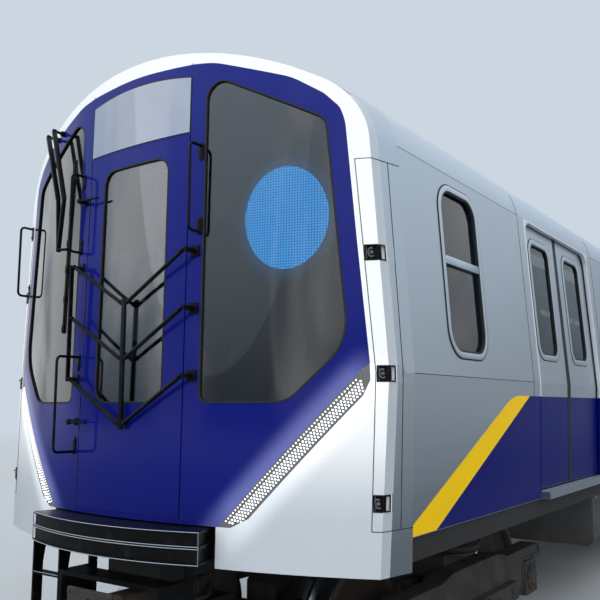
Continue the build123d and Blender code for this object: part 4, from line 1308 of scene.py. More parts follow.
class METRO_OT_wiper(bpy.types.Operator):
    """The parked wiper: two arms on their spindles, the elbow links, and the blade with its rubber"""

    bl_idname = "metro.wiper"
    bl_label = "Wiper"

    def execute(self, context):
        def off(beside, z, stand):
            x = -STRIP_HALF - beside
            return Vector((x, front_y(x, z + RAIL) - stand, z + RAIL))

        joint = off(0.230, 2.690, 0.075)
        steel, blade = [], []
        for spindle, elbow in (((0.473, 3.478), (0.265, 3.011)), ((0.385, 3.493), (0.187, 3.001))):
            steel.append(rod(off(*spindle, 0.0005), off(*spindle, 0.088), 0.009, 20, 0.0015))
            steel.append(rod(off(*spindle, 0.0005), off(*spindle, 0.022), 0.018, 24, 0.003))
            steel.append(rod(off(*spindle, 0.066), off(*spindle, 0.086), 0.015, 6, 0.002))
            steel.append(bar(off(*spindle, 0.078), off(*elbow, 0.078), 0.030, 0.018, 0.004))
            steel.append(rod(off(*elbow, 0.070), off(*elbow, 0.086), 0.014, 20, 0.002))
            steel.append(bar(off(*elbow, 0.078), joint, 0.027, 0.016, 0.004))
        middle = off(0.165, 2.690, 0.040)
        steel.append(rod(joint - Vector((0, 0.010, 0)), joint + Vector((0, 0.012, 0)), 0.014, 20, 0.002))
        steel.append(bar(joint, middle, 0.026, 0.012, 0.002))
        ends = (off(0.146, 3.253, 0.036), middle, off(0.178, 2.177, 0.036))
        for a, b in zip(ends, ends[1:]):
            steel.append(bar(a, b, 0.009, 0.016, 0.002))
            inset = Vector((0, 0.014, 0))
            blade.append(bar(a + inset, b + inset, 0.005, 0.016, 0.001))
            for share in (0.2, 0.55, 0.9):
                clip = a.lerp(b, share)
                steel.append(bar(clip, clip + (b - a).normalized() * 0.045, 0.015, 0.021, 0.002))
        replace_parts(finish(join(steel), "wiper_arms_and_blade", black_powder_coat()), "wiper")
        finish(join(blade), "wiper_rubber", rubber())
        return {"FINISHED"}


class METRO_OT_latches(bpy.types.Operator):
    """Lever latches beside the front door, each on a round rose"""

    bl_idname = "metro.latches"
    bl_label = "Door latches"

    def execute(self, context):
        parts = []
        for low, high in solids("door_latches"):
            z = (low.z + high.z) / 2
            x = low.x + 0.022
            y = front_y(x, z)
            tip = Vector((high.x - 0.002, low.y + 0.012, z - 0.003))
            hub = Vector((x, low.y + 0.010, z))
            parts.append(rod((x, y - 0.001, z), (x, y - 0.012, z), 0.021, 32, 0.003))
            parts.append(rod((x, y - 0.002, z), (x, low.y + 0.002, z), 0.011, 24, 0.002))
            parts.append(rod(hub + Vector((0, -0.009, 0)), hub + Vector((0, 0.007, 0)), 0.017, 24, 0.003))
            parts.append(bar(hub, tip, 0.015, 0.011, 0.004))
        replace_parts(finish(join(parts), "latch_levers", black_powder_coat()), "door_latches")
        return {"FINISHED"}


class METRO_OT_corner_hooks(bpy.types.Operator):
    """Frame, open hook ring and edge plate of each black corner bracket; the plate's white is a painted
    highlight
    """

    bl_idname = "metro.corner_hooks"
    bl_label = "Corner hooks"

    def execute(self, context):
        rims, hooks, edges, covers = [], [], [], []
        reach = 0.045
        for low, high in solids("corner_brackets"):
            side = 1 if low.x > 0 else -1
            z, half = (low.z + high.z) / 2, (high.z - low.z) / 2
            fold = fold_x(z)
            y = front_y(fold, z)
            inner = min(abs(low.x), abs(high.x)) + 0.001
            front = front_view(four(inner, z - half, fold - 0.001, z + half))
            rim = onto_front(ring(front, 0.007, (0, -0.005, 0), 0.001))
            rims.append(rim if side > 0 else mirrored(rim))
            if side < 0:
                bpy.data.objects.remove(rim)
            corners = side_view(four(y + 0.004, z - half, y + reach, z + half))
            rims.append(onto_cab(ring(corners, 0.007, (0.004, 0, 0), 0.001), side))
            # The white plate at the bracket's end is a painted highlight.
            corners = side_view(four(y + reach, z - half, y + reach + 0.005, z + half), -0.024)
            edges.append(onto_cab(plate(corners, (0.028, 0, 0)), side))
            corners = side_view(four(y + reach + 0.005, z - half - 0.002, high.y + 0.002, z + half + 0.002))
            covers.append(onto_cab(plate(corners, (0.0008, 0, 0)), side))
            x = (inner + fold) / 2
            middle = Vector((side * x, front_y(x, z) - 0.006, z))
            turns = [math.radians(d) for d in range(50, 311, 20)]
            arc = [(side * 0.017 * math.cos(a), -0.006 * math.cos(a / 2), 0.021 * math.sin(a)) for a in turns]
            hooks.append(tube([middle + Vector(place) for place in arc], 0.0045, sides=3))
            back, front = middle + Vector((0, 0.012, 0)), middle + Vector((0, -0.002, 0))
            hooks.append(rod(back, front, 0.009, 20, 0.002))
        finish(join(rims), "corner_hook_frames", black_powder_coat())
        finish(join(hooks), "corner_hooks", case_paint())
        finish(join(edges), "corner_hook_highlight_plates", white_highlight_paint())
        finish(join(covers), "corner_closing_plates", brushed_stainless())
        return {"FINISHED"}


def doorless(first, last):
    """Stretches of the side wall between two places that lie outside the doorways."""
    stops = [first]
    for y in DOORS:
        stops += [y - DOOR_HALF, y + DOOR_HALF]
    stops.append(last)
    return list(zip(stops[::2], stops[1::2]))


class METRO_OT_beam_edges(bpy.types.Operator):
    """Bright aluminium lines along the edges of the front beam's lips and of the stirrup step's treads:
    painted highlights
    """

    bl_idname = "metro.beam_edges"
    bl_label = "Beam edges"

    def execute(self, context):
        half, bow, front, edge = 0.640, 0.115, NOSE - 0.195, 0.0022
        radius = (half ** 2 + bow ** 2) / (2 * bow)
        places = [half * (i / 16 - 1) for i in range(33)]
        arc = [(x, front + 0.0006 + radius - math.sqrt(radius ** 2 - x * x)) for x in places]
        lips = [z + RAIL for z in (0.995, 1.0695, 1.0805, 1.148)]
        edges = [tube([(x, y, z) for x, y in arc], edge, sides=1) for z in lips]
        end = front + bow + 0.001
        for x in (-half + edge, half - edge):
            edges.append(rod((x, end, lips[0]), (x, end, lips[-1]), edge, 8))
        step = NOSE - 0.0695
        for z in (0.820, 0.640):
            edges.append(rod((-0.627, step, z + RAIL), (-0.413, step, z + RAIL), edge, 8))
        finish(join(edges), "beam_painted_highlights", satin_aluminium())
        return {"FINISHED"}


class METRO_OT_side_livery(bpy.types.Operator):
    """The blue band along both sides and the yellow stripe that starts it behind the cab"""

    bl_idname = "metro.side_livery"
    bl_label = "Side livery"

    def execute(self, context):
        sizes = context.scene.metro_sizes
        top, foot, thick = sizes.band_top, SKIRT + 0.004, (sizes.film, 0, 0)
        # Where the stripe's edges meet the skirt and the band's top
        near_foot, near_top, far_foot, far_top = -8.170, -6.750, -8.545, -7.060
        rise = (top - foot) / (far_top - far_foot)
        cut_z = foot + (CAB_END + 0.002 - far_foot) * rise
        start = CAB_END + 0.002
        stripe = [(start, foot), (near_foot, foot), (near_top, top), (far_top, top), (start, cut_z)]
        for word, side in SIDES:
            piece = plate(rounded(side_view(stripe), [0, 0, 0, 0.62, 0], 8), thick)
            finish(onto_side(piece, side), f"yellow_stripe_{word}", yellow_film())
            bands = []
            for first, last in doorless(CAB_END, BODY_END - 0.082):
                corners = four(first + 0.0005, foot, last - 0.0005, top)
                if first == CAB_END:
                    corners[0], corners[3] = (near_foot + 0.001, foot), (near_top + 0.001, top)
                bands.append(onto_side(plate(side_view(corners), thick), side))
            finish(join(bands), f"blue_band_{word}", blue_film())
            for leaf, y, end in leaves(word):
                near, far = sorted((y + end * 0.024, y + end * (DOOR_HALF + 0.028)))
                corners = side_view(four(near, FLOOR_TOP + 0.012, far, top))
                finish(onto_side(plate(corners, thick), side, 0.040), f"{leaf}_band", blue_film(), leaf)
        return {"FINISHED"}


class METRO_OT_joints(bpy.types.Operator):
    """Sealed joints between the sheets of the sides, the cab and the roof"""

    bl_idname = "metro.joints"
    bl_label = "Panel joints"

    def execute(self, context):
        radius = context.scene.metro_sizes.seam
        portal = 0.13
        for word, side in SIDES:
            def line(points):
                return tube([(side * (side_x(z) - 0.0005), y, z) for y, z in points], radius, sides=1)

            lines = []
            for first, last in doorless(CAB_END, BODY_END - 0.080):
                start = first if first == CAB_END else first + portal
                end = last if last > BODY_END - 0.1 else last - portal
                lines.append(line([(start, CANT), (end, CANT)]))
                lines.append(line([(start, WAIST), (end, WAIST)]))
            for y in DOORS:
                for reach in (-DOOR_HALF - portal, DOOR_HALF + portal):
                    rise = [SKIRT, WAIST, CANT - 0.09] + [CANT + 0.025 * i for i in range(7)]
                    lines.append(line([(y + reach, z) for z in rise]))
            # The cab's corner panel: across the fold at its top and foot, and up both sides of it
            low, high = 1.17 + RAIL, 2.97 + RAIL
            front = [(side * (fold_x(z) - 0.045 - 0.03 * (z - low) / (high - low)), z)
                     for z in (low, (low + WAIST) / 2, WAIST, 2.4, high)]
            lines.append(tube(on_front(front, 0.0005), radius, sides=1))
            middle = [cab_side(CAB_END - 0.085, z, side) for z in (low, WAIST, high)]
            lines.append(tube(middle, radius, sides=1))
            for z in (low, high):
                fold = fold_x(z)
                inner = fold - (0.045 if z == low else 0.075)
                wrap = on_front([(side * inner, z), (side * (fold - 0.001), z)], 0.0005)
                wrap.append(cab_side(front_y(fold, z) + 0.001, z, side))
                wrap.append(cab_side(CAB_END, z, side))
                lines.append(tube(wrap, radius, sides=1))
            finish(join(lines), f"panel_joints_{word}", rubber())
        return {"FINISHED"}


class METRO_OT_side_windows(bpy.types.Operator):
    """Aluminium frames and rubber round the fixed windows, and the bar across the cab's side window"""

    bl_idname = "metro.side_windows"
    bl_label = "Side windows"

    def execute(self, context):
        cab = dict(y=NOSE + 1.253, z=2.51 + RAIL, width=0.495, height=0.94, corner=0.13)
        saloon = [dict(y=(a + b) / 2, z=2.45 + RAIL, width=0.76, height=0.86, corner=0.11)
                  for a, b in zip(DOORS, DOORS[1:])]
        for word, side in SIDES:
            frames, seals = [], []
            for window in (cab, *saloon):
                outer = window_outline(**window, grow=0.030)
                frames.append(onto_side(ring(outer, 0.034, (0.007, 0, 0), 0.003), side))
                outer = window_outline(**window, grow=0.037)
                seals.append(onto_side(ring(outer, 0.008, (0.004, 0, 0), 0.001), side))
                inner = shifted(window_outline(**window, grow=-0.001), x=-0.019)
                seals.append(onto_side(ring(inner, 0.014, (0.020, 0, 0), 0.002), side))
            y, z = cab["y"], 2.56 + RAIL
            across = plate(side_view(four(y - 0.240, z - 0.024, y + 0.240, z + 0.024), -0.019), (0.022, 0, 0))
            frames.append(onto_side(soften(across, 0.004), side))
            finish(join(frames), f"window_frames_{word}", satin_aluminium())
            finish(join(seals), f"window_seals_{word}", rubber())
        return {"FINISHED"}


class METRO_OT_door_leaves(bpy.types.Operator):
    """Glass, window frame and rubber edges of every sliding leaf"""

    bl_idname = "metro.door_leaves"
    bl_label = "Door leaves"

    def execute(self, context):
        for word, side in SIDES:
            for leaf, y, end in leaves(word):
                def outline(grow):
                    return window_outline(y + end * DOOR_HALF / 2, 2.53 + RAIL, 0.44, 0.85, 0.09, grow)

                def around(grow, width, thick, edge, depth):
                    return onto_side(ring(outline(grow), width, (thick, 0, 0), edge), side, depth)

                edge = around(0.028, 0.040, 0.006, 0.0025, 0.0405)
                finish(edge, f"{leaf}_window_frame", satin_aluminium(), leaf)
                seal = around(-0.012, 0.012, 0.022, 0.002, 0.058)
                lip = around(0.034, 0.007, 0.003, 0.001, 0.0405)
                nose = y + end * 0.0032
                near, far = sorted((nose, nose + end * 0.034))
                strip = four(near, FLOOR_TOP + 0.012, far, CANT + 0.02)
                strip = [*strip[:2], (far, WAIST), *strip[2:], (near, WAIST)]
                meeting = onto_side(plate(side_view(strip), (0.004, 0, 0)), side, 0.041)
                finish(join([seal, lip, soften(meeting, 0.001)]), f"{leaf}_rubber", rubber(), leaf)
                glass = plate(shifted(outline(-0.012), x=-0.006), (0.006, 0, 0))
                finish(onto_side(glass, side, 0.051), f"{leaf}_pane", side_glass(), leaf)
        return {"FINISHED"}


class METRO_OT_doorways(bpy.types.Operator):
    """Rounded stainless lining and ribbed threshold of every doorway"""

    bl_idname = "metro.doorways"
    bl_label = "Doorways"

    def execute(self, context):
        band_top = context.scene.metro_sizes.band_top
        for word, side in SIDES:
            linings, treads = [], []
            for y in DOORS:
                low, high = FLOOR_TOP + 0.002, CANT - 0.001
                near, far = y - DOOR_HALF, y + DOOR_HALF
                inner = side_view(four(near + 0.010, low - 0.1, far - 0.010, high - 0.010), -0.1)
                lining = cut(plate(side_view(four(near, low, far, high), -0.030), (0.034, 0, 0)),
                             plate(rounded(inner, [0, 0, 0.11, 0.11], 10), (0.3, 0, 0)))
                edit(soften(lining, 0.0015))
                for height in (WAIST, band_top):
                    bpy.ops.mesh.select_all(action="SELECT")
                    bpy.ops.mesh.bisect(plane_co=(0, 0, height), plane_no=(0, 0, 1))
                close_edit()
                linings.append(onto_side(lining, side))
                for step in range(6):
                    x = side * (WAIST_HALF + 0.030 - step * 0.014)
                    treads.append(block((x, x - side * 0.008), (near + 0.006, far - 0.006),
                                        (FLOOR_TOP, FLOOR_TOP + 0.002), 0.0008, 1))
            frames = join(linings)
            frames.data.materials.append(lining_steel())
            frames.data.materials.append(blue_film())
            for face in frames.data.polygons:
                face.material_index = int(face.center.z < band_top)
            finish(frames, f"doorway_linings_{word}", None)
            finish(join(treads), f"threshold_ribs_{word}", polished_steel())
        return {"FINISHED"}


class METRO_OT_wheels(bpy.types.Operator):
    """Turned wheelsets: dished webs, hubs, flanged treads, brake discs and axle"""

    bl_idname = "metro.wheels"
    bl_label = "Wheelsets"

    def execute(self, context):
        steps = context.scene.metro_sizes.wheel_steps
        tread = WHEEL_RADIUS
        # One wheel's section: distance along the axle, and radius
        section = [
            (0.680, 0.455), (0.686, 0.4585), (0.694, 0.4595), (0.704, 0.457), (0.716, 0.440), (0.724, tread),
            (0.808, tread - 0.003), (0.815, tread - 0.010), (0.815, 0.378), (0.802, 0.366), (0.766, 0.352),
            (0.742, 0.300), (0.742, 0.190), (0.766, 0.150), (0.840, 0.140), (0.840, 0.092), (0.815, 0.0805),
            (0.680, 0.0805), (0.668, 0.092), (0.668, 0.140), (0.706, 0.160), (0.720, 0.200), (0.714, 0.300),
            (0.700, 0.352), (0.680, 0.368),
        ]
        disc = [
            (0.330, 0.290), (0.345, 0.290), (0.345, 0.272), (0.352, 0.140), (0.372, 0.136),
            (0.372, 0.080), (0.300, 0.080), (0.300, 0.136), (0.322, 0.140), (0.330, 0.272),
        ]
        axle = [(-1.017, 0), (1.017, 0), (1.017, 0.063), (0.8148, 0.063), (0.8148, 0.080), (-0.8148, 0.080),
                (-0.8148, 0.063), (-1.017, 0.063)]
        model = []
        for profile in (section, disc):
            wheel = lathe([(x, 0, r) for x, r in profile], (0, 0, 0), (1, 0, 0), steps)
            model += [wheel, mirrored(wheel)]
        model.append(lathe([(x, 0, r) for x, r in axle], (0, 0, 0), (1, 0, 0), 40))
        model = join(model)
        model.data.materials.append(wheel_steel())
        model.data.materials.append(polished_steel())
        for face in model.data.polygons:
            radius = math.hypot(face.center.y, face.center.z)
            if radius > tread - 0.012 or 0.15 < radius < 0.272 and abs(face.center.x) < 0.4:
                face.material_index = 1
        for end in ("front", "rear"):
            for number in (1, 2):
                node = f"wheelset_{end}_{number}"
                piece = copied(model, sum(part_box(node), Vector()) / 2)
                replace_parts(finish(piece, f"turned_{node}", None, node), node)
        bpy.data.objects.remove(model)
        return {"FINISHED"}


class METRO_OT_desk(bpy.types.Operator):
    """Screens, controller levers and push buttons on the driver's desk"""

    bl_idname = "metro.desk"
    bl_label = "Driver's desk"

    def execute(self, context):
        desk = Vector((-0.74, NOSE, FLOOR_TOP))
        lean = Matrix.Rotation(-0.30, 4, "X")
        bezels, screens, metal = [], [], []
        for x in (-0.22, 0.02, 0.26):
            place = Matrix.Translation(desk + Vector((x - 0.02, 0.470, 0.905))) @ lean
            for half, high, front, into in ((0.105, 0.17, 0.014, bezels), (0.09, 0.14, 0.017, screens)):
                panel = box((-half, -0.014, -high / 2), (half, front, high / 2), 0.004)
                panel.data.transform(place)
                into.append(panel)
        for x in (-0.30, 0.30):
            foot = desk + Vector((x, 0.735, 0.765))
            low, high = foot + Vector((-0.035, -0.07, -0.01)), foot + Vector((0.035, 0.07, 0.012))
            bezels.append(box(low, high, 0.004))
            metal.append(rod(foot, foot + Vector((0, -0.025, 0.085)), 0.008, 16))
            grip = foot + Vector((0, -0.025, 0.09))
            reach = Vector((0.045, 0, 0))
            bezels.append(rod(grip - reach, grip + reach, 0.014, 20, 0.004))
        for row in (0, 1):
            for column in range(7):
                base = desk + Vector((-0.15 + column * 0.05, 0.70 + row * 0.055, 0.776 - row * 0.0155))
                metal.append(rod(base, base + Vector((0, 0.003, 0.012)), 0.012, 20, 0.002))
                bezels.append(rod(base, base + Vector((0, 0.004, 0.016)), 0.008, 16, 0.002))
        finish(join(bezels), "desk_bezels_and_grips", console_plastic())
        finish(join(screens), "desk_screens", screen_glass())
        finish(join(metal), "desk_levers_and_buttons", satin_aluminium())
        return {"FINISHED"}


def cushion(piece, most):
    """Swells a closed cover with pressure until it is taut, moving no point farther than a given way."""
    apply_modifier(piece, "REMESH", mode="VOXEL", voxel_size=0.006)
    rest = [v.co.copy() for v in piece.data.vertices]
    cloth = piece.modifiers.new("Cloth", "CLOTH")
    cloth.settings.use_pressure = True
    cloth.settings.uniform_pressure_force = 4
    cloth.settings.effector_weights.gravity = 0
    for step in range(1, 21):
        bpy.context.scene.frame_set(step)
    choose(piece)
    bpy.ops.object.modifier_apply(modifier=cloth.name)
    for vertex, start in zip(piece.data.vertices, rest):
        move = vertex.co - start
        if move.length > most:
            vertex.co = start + move.normalized() * most
    bpy.context.scene.frame_set(1)
    return apply_modifier(piece, "SUBSURF", levels=1, render_levels=1)


class METRO_OT_driver_seat(bpy.types.Operator):
    """Sprung driver's seat: padded cushions in moulded shells, armrests and a pedestal"""

    bl_idname = "metro.driver_seat"
    bl_label = "Driver's seat"

    def execute(self, context):
        place = Vector((-0.74, NOSE, FLOOR_TOP))

        def at(*move):
            return place + Vector(move)

        upright = Matrix.Translation(at(0, 1.385, 0.46)) @ Matrix.Rotation(-0.135, 4, "X")
        pan = box(at(-0.200, 1.010, 0.405), at(0.200, 1.365, 0.465), 0.028, 4)
        back = box((-0.195, -0.030, 0.035), (0.195, 0.018, 0.56), 0.022, 4)
        back.data.transform(upright)
        for piece, word in ((pan, "seat"), (back, "back")):
            finish(cushion(piece, 0.014), f"driver_{word}_cushion", seat_cloth())
        shells = [box(at(-0.222, 0.988, 0.380), at(0.222, 1.432, 0.410), 0.012, 3)]
        shell = box((-0.215, 0.016, -0.02), (0.215, 0.040, 0.585), 0.011, 3)
        shell.data.transform(upright)
        shells.append(shell)
        for x in (-0.212, 0.212):
            shells.append(box(at(x - 0.018, 1.06, 0.655), at(x + 0.018, 1.38, 0.685), 0.012, 3))
            shells.append(tube([at(x, 1.33, 0.40), at(x, 1.33, 0.55), at(x, 1.22, 0.66)], 0.011, bend=0.05))
        centre = at(0, 1.22, 0)
        ribs = [(0.001, 0.0), (0.125, 0.0), (0.125, 0.012), (0.070, 0.020)]
        for step in range(8):
            ribs += [(0.070, 0.10 + step * 0.032), (0.092, 0.116 + step * 0.032)]
        ribs += [(0.070, 0.365), (0.100, 0.382), (0.001, 0.382)]
        stem = lathe([centre + Vector((r, 0, z)) for r, z in ribs], centre, (0, 0, 1), 32)
        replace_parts(finish(join([*shells, stem]), "driver_seat_frame", console_plastic()), "driver_seat")
        return {"FINISHED"}


class METRO_OT_saloon(bpy.types.Operator):
    """Poles, overhead rails, and the dividers, end panels and end bars of the benches"""

    bl_idname = "metro.saloon"
    bl_label = "Saloon"

    def execute(self, context):
        floor, top = FLOOR_TOP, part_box("ceiling")[0].z
        half = [(0.001, floor), (0.045, floor), (0.045, floor + 0.004),
                (0.028, floor + 0.014), (0.018, floor + 0.018)]
        profile = half + [(r, floor + top - z) for r, z in reversed(half)]
        pole = lathe([Vector((r, 0, z)) for r, z in profile], (0, 0, 0), (0, 0, 1), 28)
        poles = [copied(pole, (0, (low.y + high.y) / 2, 0)) for low, high in solids("stanchions")]
        bpy.data.objects.remove(pole)
        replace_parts(finish(join(poles), "poles", polished_steel()), "stanchions")
        rails, ridges, panels = [], [], []
        for low, high in solids("benches"):
            side = 1 if low.x > 0 else -1
            wall = max(abs(low.x), abs(high.x))
            x, drop = side * 0.50, top - 0.26
            path = [(x, low.y, top), (x, low.y, drop), (x, high.y, drop), (x, high.y, top)]
            rails.append(tube(path, 0.016, bend=0.09))
            for y in (low.y + 0.7, high.y - 0.7):
                rails.append(rod((x, y, drop), (x, y, top), 0.010, 16))
            for number in range(1, 5):
                y = low.y + (high.y - low.y) * number / 5
                path = [(0.037, 0.784), (0.057, 0.476), (0.455, 0.437)]
                path = [(side * (wall - depth), y, floor + up) for depth, up in path]
                ridges.append(tube(path, 0.009, bend=0.05))
            for y, way in ((low.y, -1), (high.y, 1)):
                panels.append(block((side * (wall - 0.46), side * (wall - 0.002)), (y, y + way * 0.018),
                                    (floor + 0.12, floor + 0.80), 0.006))
                x, y = side * (wall - 0.445), y + way * 0.035
                path = [(x, y, floor + 0.16), (x, y, floor + 1.35), (x - side * 0.16, y, top)]
                rails.append(tube(path, 0.016, bend=0.25))
        finish(join(rails), "saloon_rails", polished_steel())
        finish(join(ridges), "bench_ridges", seat_plastic())
        finish(join(panels), "bench_end_panels", lining_laminate())
        return {"FINISHED"}


class METRO_OT_running_gear(bpy.types.Operator):
    """Air-spring bellows, axle-box covers, frame flanges, tread brakes and current shoes of the trucks"""

    bl_idname = "metro.running_gear"
    bl_label = "Running gear"

    def execute(self, context):
        axle = WHEEL_RADIUS + RAIL
        cover = [(1.100, 0.001), (1.100, 0.092), (1.110, 0.092),
                 (1.113, 0.060), (1.122, 0.052), (1.122, 0.001)]
        cover = lathe([Vector((x, 0, r)) for x, r in cover], (0, 0, 0), (1, 0, 0), 40)
        spots = [(0.076 * math.cos(a), 0.076 * math.sin(a)) for a in [math.pi * i / 3 for i in range(6)]]
        cover = join([cover, *[rod((1.108, *spot), (1.118, *spot), 0.009, 6) for spot in spots]])
        steel = [copied(cover, (0, way * AXLE_BASE, axle)) for way in (-1, 1)]
        bpy.data.objects.remove(cover)
        half = [(0.380, 0.268), (0.560, 0.228), (1.230, 0.228), (1.280, 0.178),
                (1.280, 0.143), (0.892, 0.143), (0.892, -0.012), (0.800, -0.092)]
        outline = half + [(-y, z) for y, z in reversed(half)]
        outline = side_view([(y, z + axle) for y, z in outline], 1.0895)
        steel.append(ring(outline, 0.016, (0.009, 0, 0), 0.002))
        for way in (-1, 1):
            steel.append(block((0.735, 0.795), (way * 0.490, way * 0.585), (axle - 0.10, axle + 0.10), 0.008))
            steel.append(rod((0.765, way * 0.50, axle), (0.765, way * 0.34, axle), 0.052, 28, 0.006))
            steel.append(block((0.730, 0.800), (way * 0.225, way * 0.40), (axle + 0.03, 0.62 + RAIL), 0.006))
        steel.append(box((1.148, -0.085, 0.375 + RAIL), (1.170, 0.085, 0.465 + RAIL), 0.005))
        steel.append(rod((1.176, -0.075, 0.43 + RAIL), (1.176, 0.075, 0.43 + RAIL), 0.014, 16))
        shoe = [(1.165, 0.44), (1.165, 0.405), (1.215, 0.335), (1.330, 0.335), (1.330, 0.352), (1.222, 0.360)]
        steel.append(plate([Vector((x, -0.06, z + RAIL)) for x, z in shoe], (0, 0.12, 0)))
        for y in (-0.50, -0.25, 0.25, 0.50):
            steel.append(rod((1.148, y, 0.42 + RAIL), (1.156, y, 0.42 + RAIL), 0.014, 6))
        low, high = 0.768 + RAIL, 0.952 + RAIL
        folds = [(0.202 + 0.018 * abs(math.sin(3 * math.pi * t)), low + (high - low) * t)
                 for t in [i / 30 for i in range(31)]]
        spring = [Vector((r, 0, z)) for r, z in [(0.190, low), *folds, (0.190, high)]]
        spring = lathe(spring, (0, 0, 0), (0, 0, 1), 48)
        spring.data.transform(Matrix.Translation((0.88, 0, 0)))
        steel = join(steel)
        for end in ("front", "rear"):
            low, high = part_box(f"truck_frame_{end}")
            y = (low.y + high.y) / 2
            for piece, word, material in ((steel, "fittings", truck_steel()), (spring, "bellows", rubber())):
                one = copied(piece, (0, y, 0))
                finish(join([one, mirrored(one)]), f"truck_{word}_{end}", material, f"truck_{end}")
        bpy.data.objects.remove(steel)
        bpy.data.objects.remove(spring)
        return {"FINISHED"}


class METRO_OT_equipment(bpy.types.Operator):
    """Lids, louvres and latches of the underfloor cases, and the pipes beside them"""

    bl_idname = "metro.equipment"
    bl_label = "Underfloor equipment"

    def execute(self, context):
        lids, latches = [], []
        for case, (low, high) in enumerate(solids("underfloor_cases")):
            side = 1 if low.x > 0 else -1
            wall = max(abs(low.x), abs(high.x))
            count = round((high.y - low.y) / 0.6)
            pitch = (high.y - low.y) / count

            def lid(depth, out, start, end, foot, head, edge):
                across = (side * (wall + depth), side * (wall + out))
                return block(across, (start, end), (foot, head), edge, 1)

            for number in range(count):
                start, end = low.y + pitch * number + 0.018, low.y + pitch * (number + 1) - 0.018
                foot, head = low.z + 0.055, high.z - 0.045
                lids.append(lid(-0.001, 0.009, start, end, foot, head, 0.003))
                if (case + number) % 2:
                    for slat in range(7):
                        z = foot + 0.07 + slat * (head - foot - 0.14) / 7
                        lids.append(lid(0.008, 0.016, start + 0.07, end - 0.07, z, z + 0.016, 0.004))
                for y in (start + 0.07, end - 0.11):
                    latches.append(lid(0.009, 0.020, y, y + 0.04, head - 0.055, head - 0.02, 0.003))
        finish(join(lids), "case_lids", case_paint())
        finish(join(latches), "case_latches", satin_aluminium())
        pipes = []
        for side in (-1, 1):
            for x, z, radius in ((1.278, 1.045, 0.020), (1.275, 1.090, 0.012)):
                pipes.append(rod((side * x, -5.2, z + RAIL), (side * x, 5.2, z + RAIL), radius, 16))
            for step in range(11):
                y = -5.0 + step
                pipes.append(block((side * 1.245, side * 1.300), (y - 0.015, y + 0.015),
                                   (1.020 + RAIL, 1.107 + RAIL), 0.004, 1))
        finish(join(pipes), "underframe_pipes", truck_steel())
        return {"FINISHED"}


class METRO_OT_couplers(bpy.types.Operator):
    """Automatic couplers: flanged head with cone, pocket and hook slot, shank, sleeve and pipes"""

    bl_idname = "metro.couplers"
    bl_label = "Couplers"

    def execute(self, context):
        low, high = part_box("coupler_front")
        y, z = low.y, (low.z + high.z) / 2
        head = box((-0.158, y + 0.028, z - 0.108), (0.158, y + 0.195, z + 0.108), 0.018, 3)
        face = box((-0.169, y + 0.016, z - 0.113), (0.169, y + 0.034, z + 0.113), 0.005)
        head = join([head, face])
        cut(head, rod((0.080, y - 0.1, z), (0.080, y + 0.11, z), 0.052, 32),
            box((-0.014, y - 0.1, z - 0.07), (0.014, y + 0.12, z + 0.07), 0))
        cone = [(-0.080, 0.02), (-0.026, 0.02), (-0.034, 0.008), (-0.060, 0.001), (-0.080, 0.001)]
        cone = lathe([(x, y + out, z) for x, out in cone], (-0.080, y, z), (0, 1, 0), 32)
        parts = [head, cone]
        for x in (-0.150, 0.150):
            for up in (-0.09, -0.03, 0.03, 0.09):
                parts.append(rod((x, y + 0.008, z + up), (x, y + 0.020, z + up), 0.010, 6))
        parts.append(box((-0.060, y + 0.180, z - 0.058), (0.060, y + 0.870, z + 0.058), 0.012, 3))
        parts.append(rod((0, y + 0.50, z), (0, y + 0.74, z), 0.088, 40, 0.012))
        for place in (0.50, 0.72):
            parts.append(rod((0, y + place, z), (0, y + place + 0.02, z), 0.098, 40, 0.004))
        parts.append(rod((0, y + 0.872, z - 0.112), (0, y + 0.872, z + 0.112), 0.060, 40, 0.008))
        for x in (-0.105, 0.105):
            pipe = [(x * 0.7, y + 0.19, z - 0.04), (x, y + 0.26, z - 0.05), (x, y + 0.80, z - 0.05),
                    (x * 0.5, y + 0.86, z)]
            parts.append(tube(pipe, 0.012, bend=0.05))
        coupler = join(parts)
        for piece, end in ((coupler, "front"), (mirrored(coupler, 1), "rear")):
            node = f"coupler_{end}"
            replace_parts(finish(piece, f"coupler_head_{end}", truck_steel(), node), node)
        return {"FINISHED"}


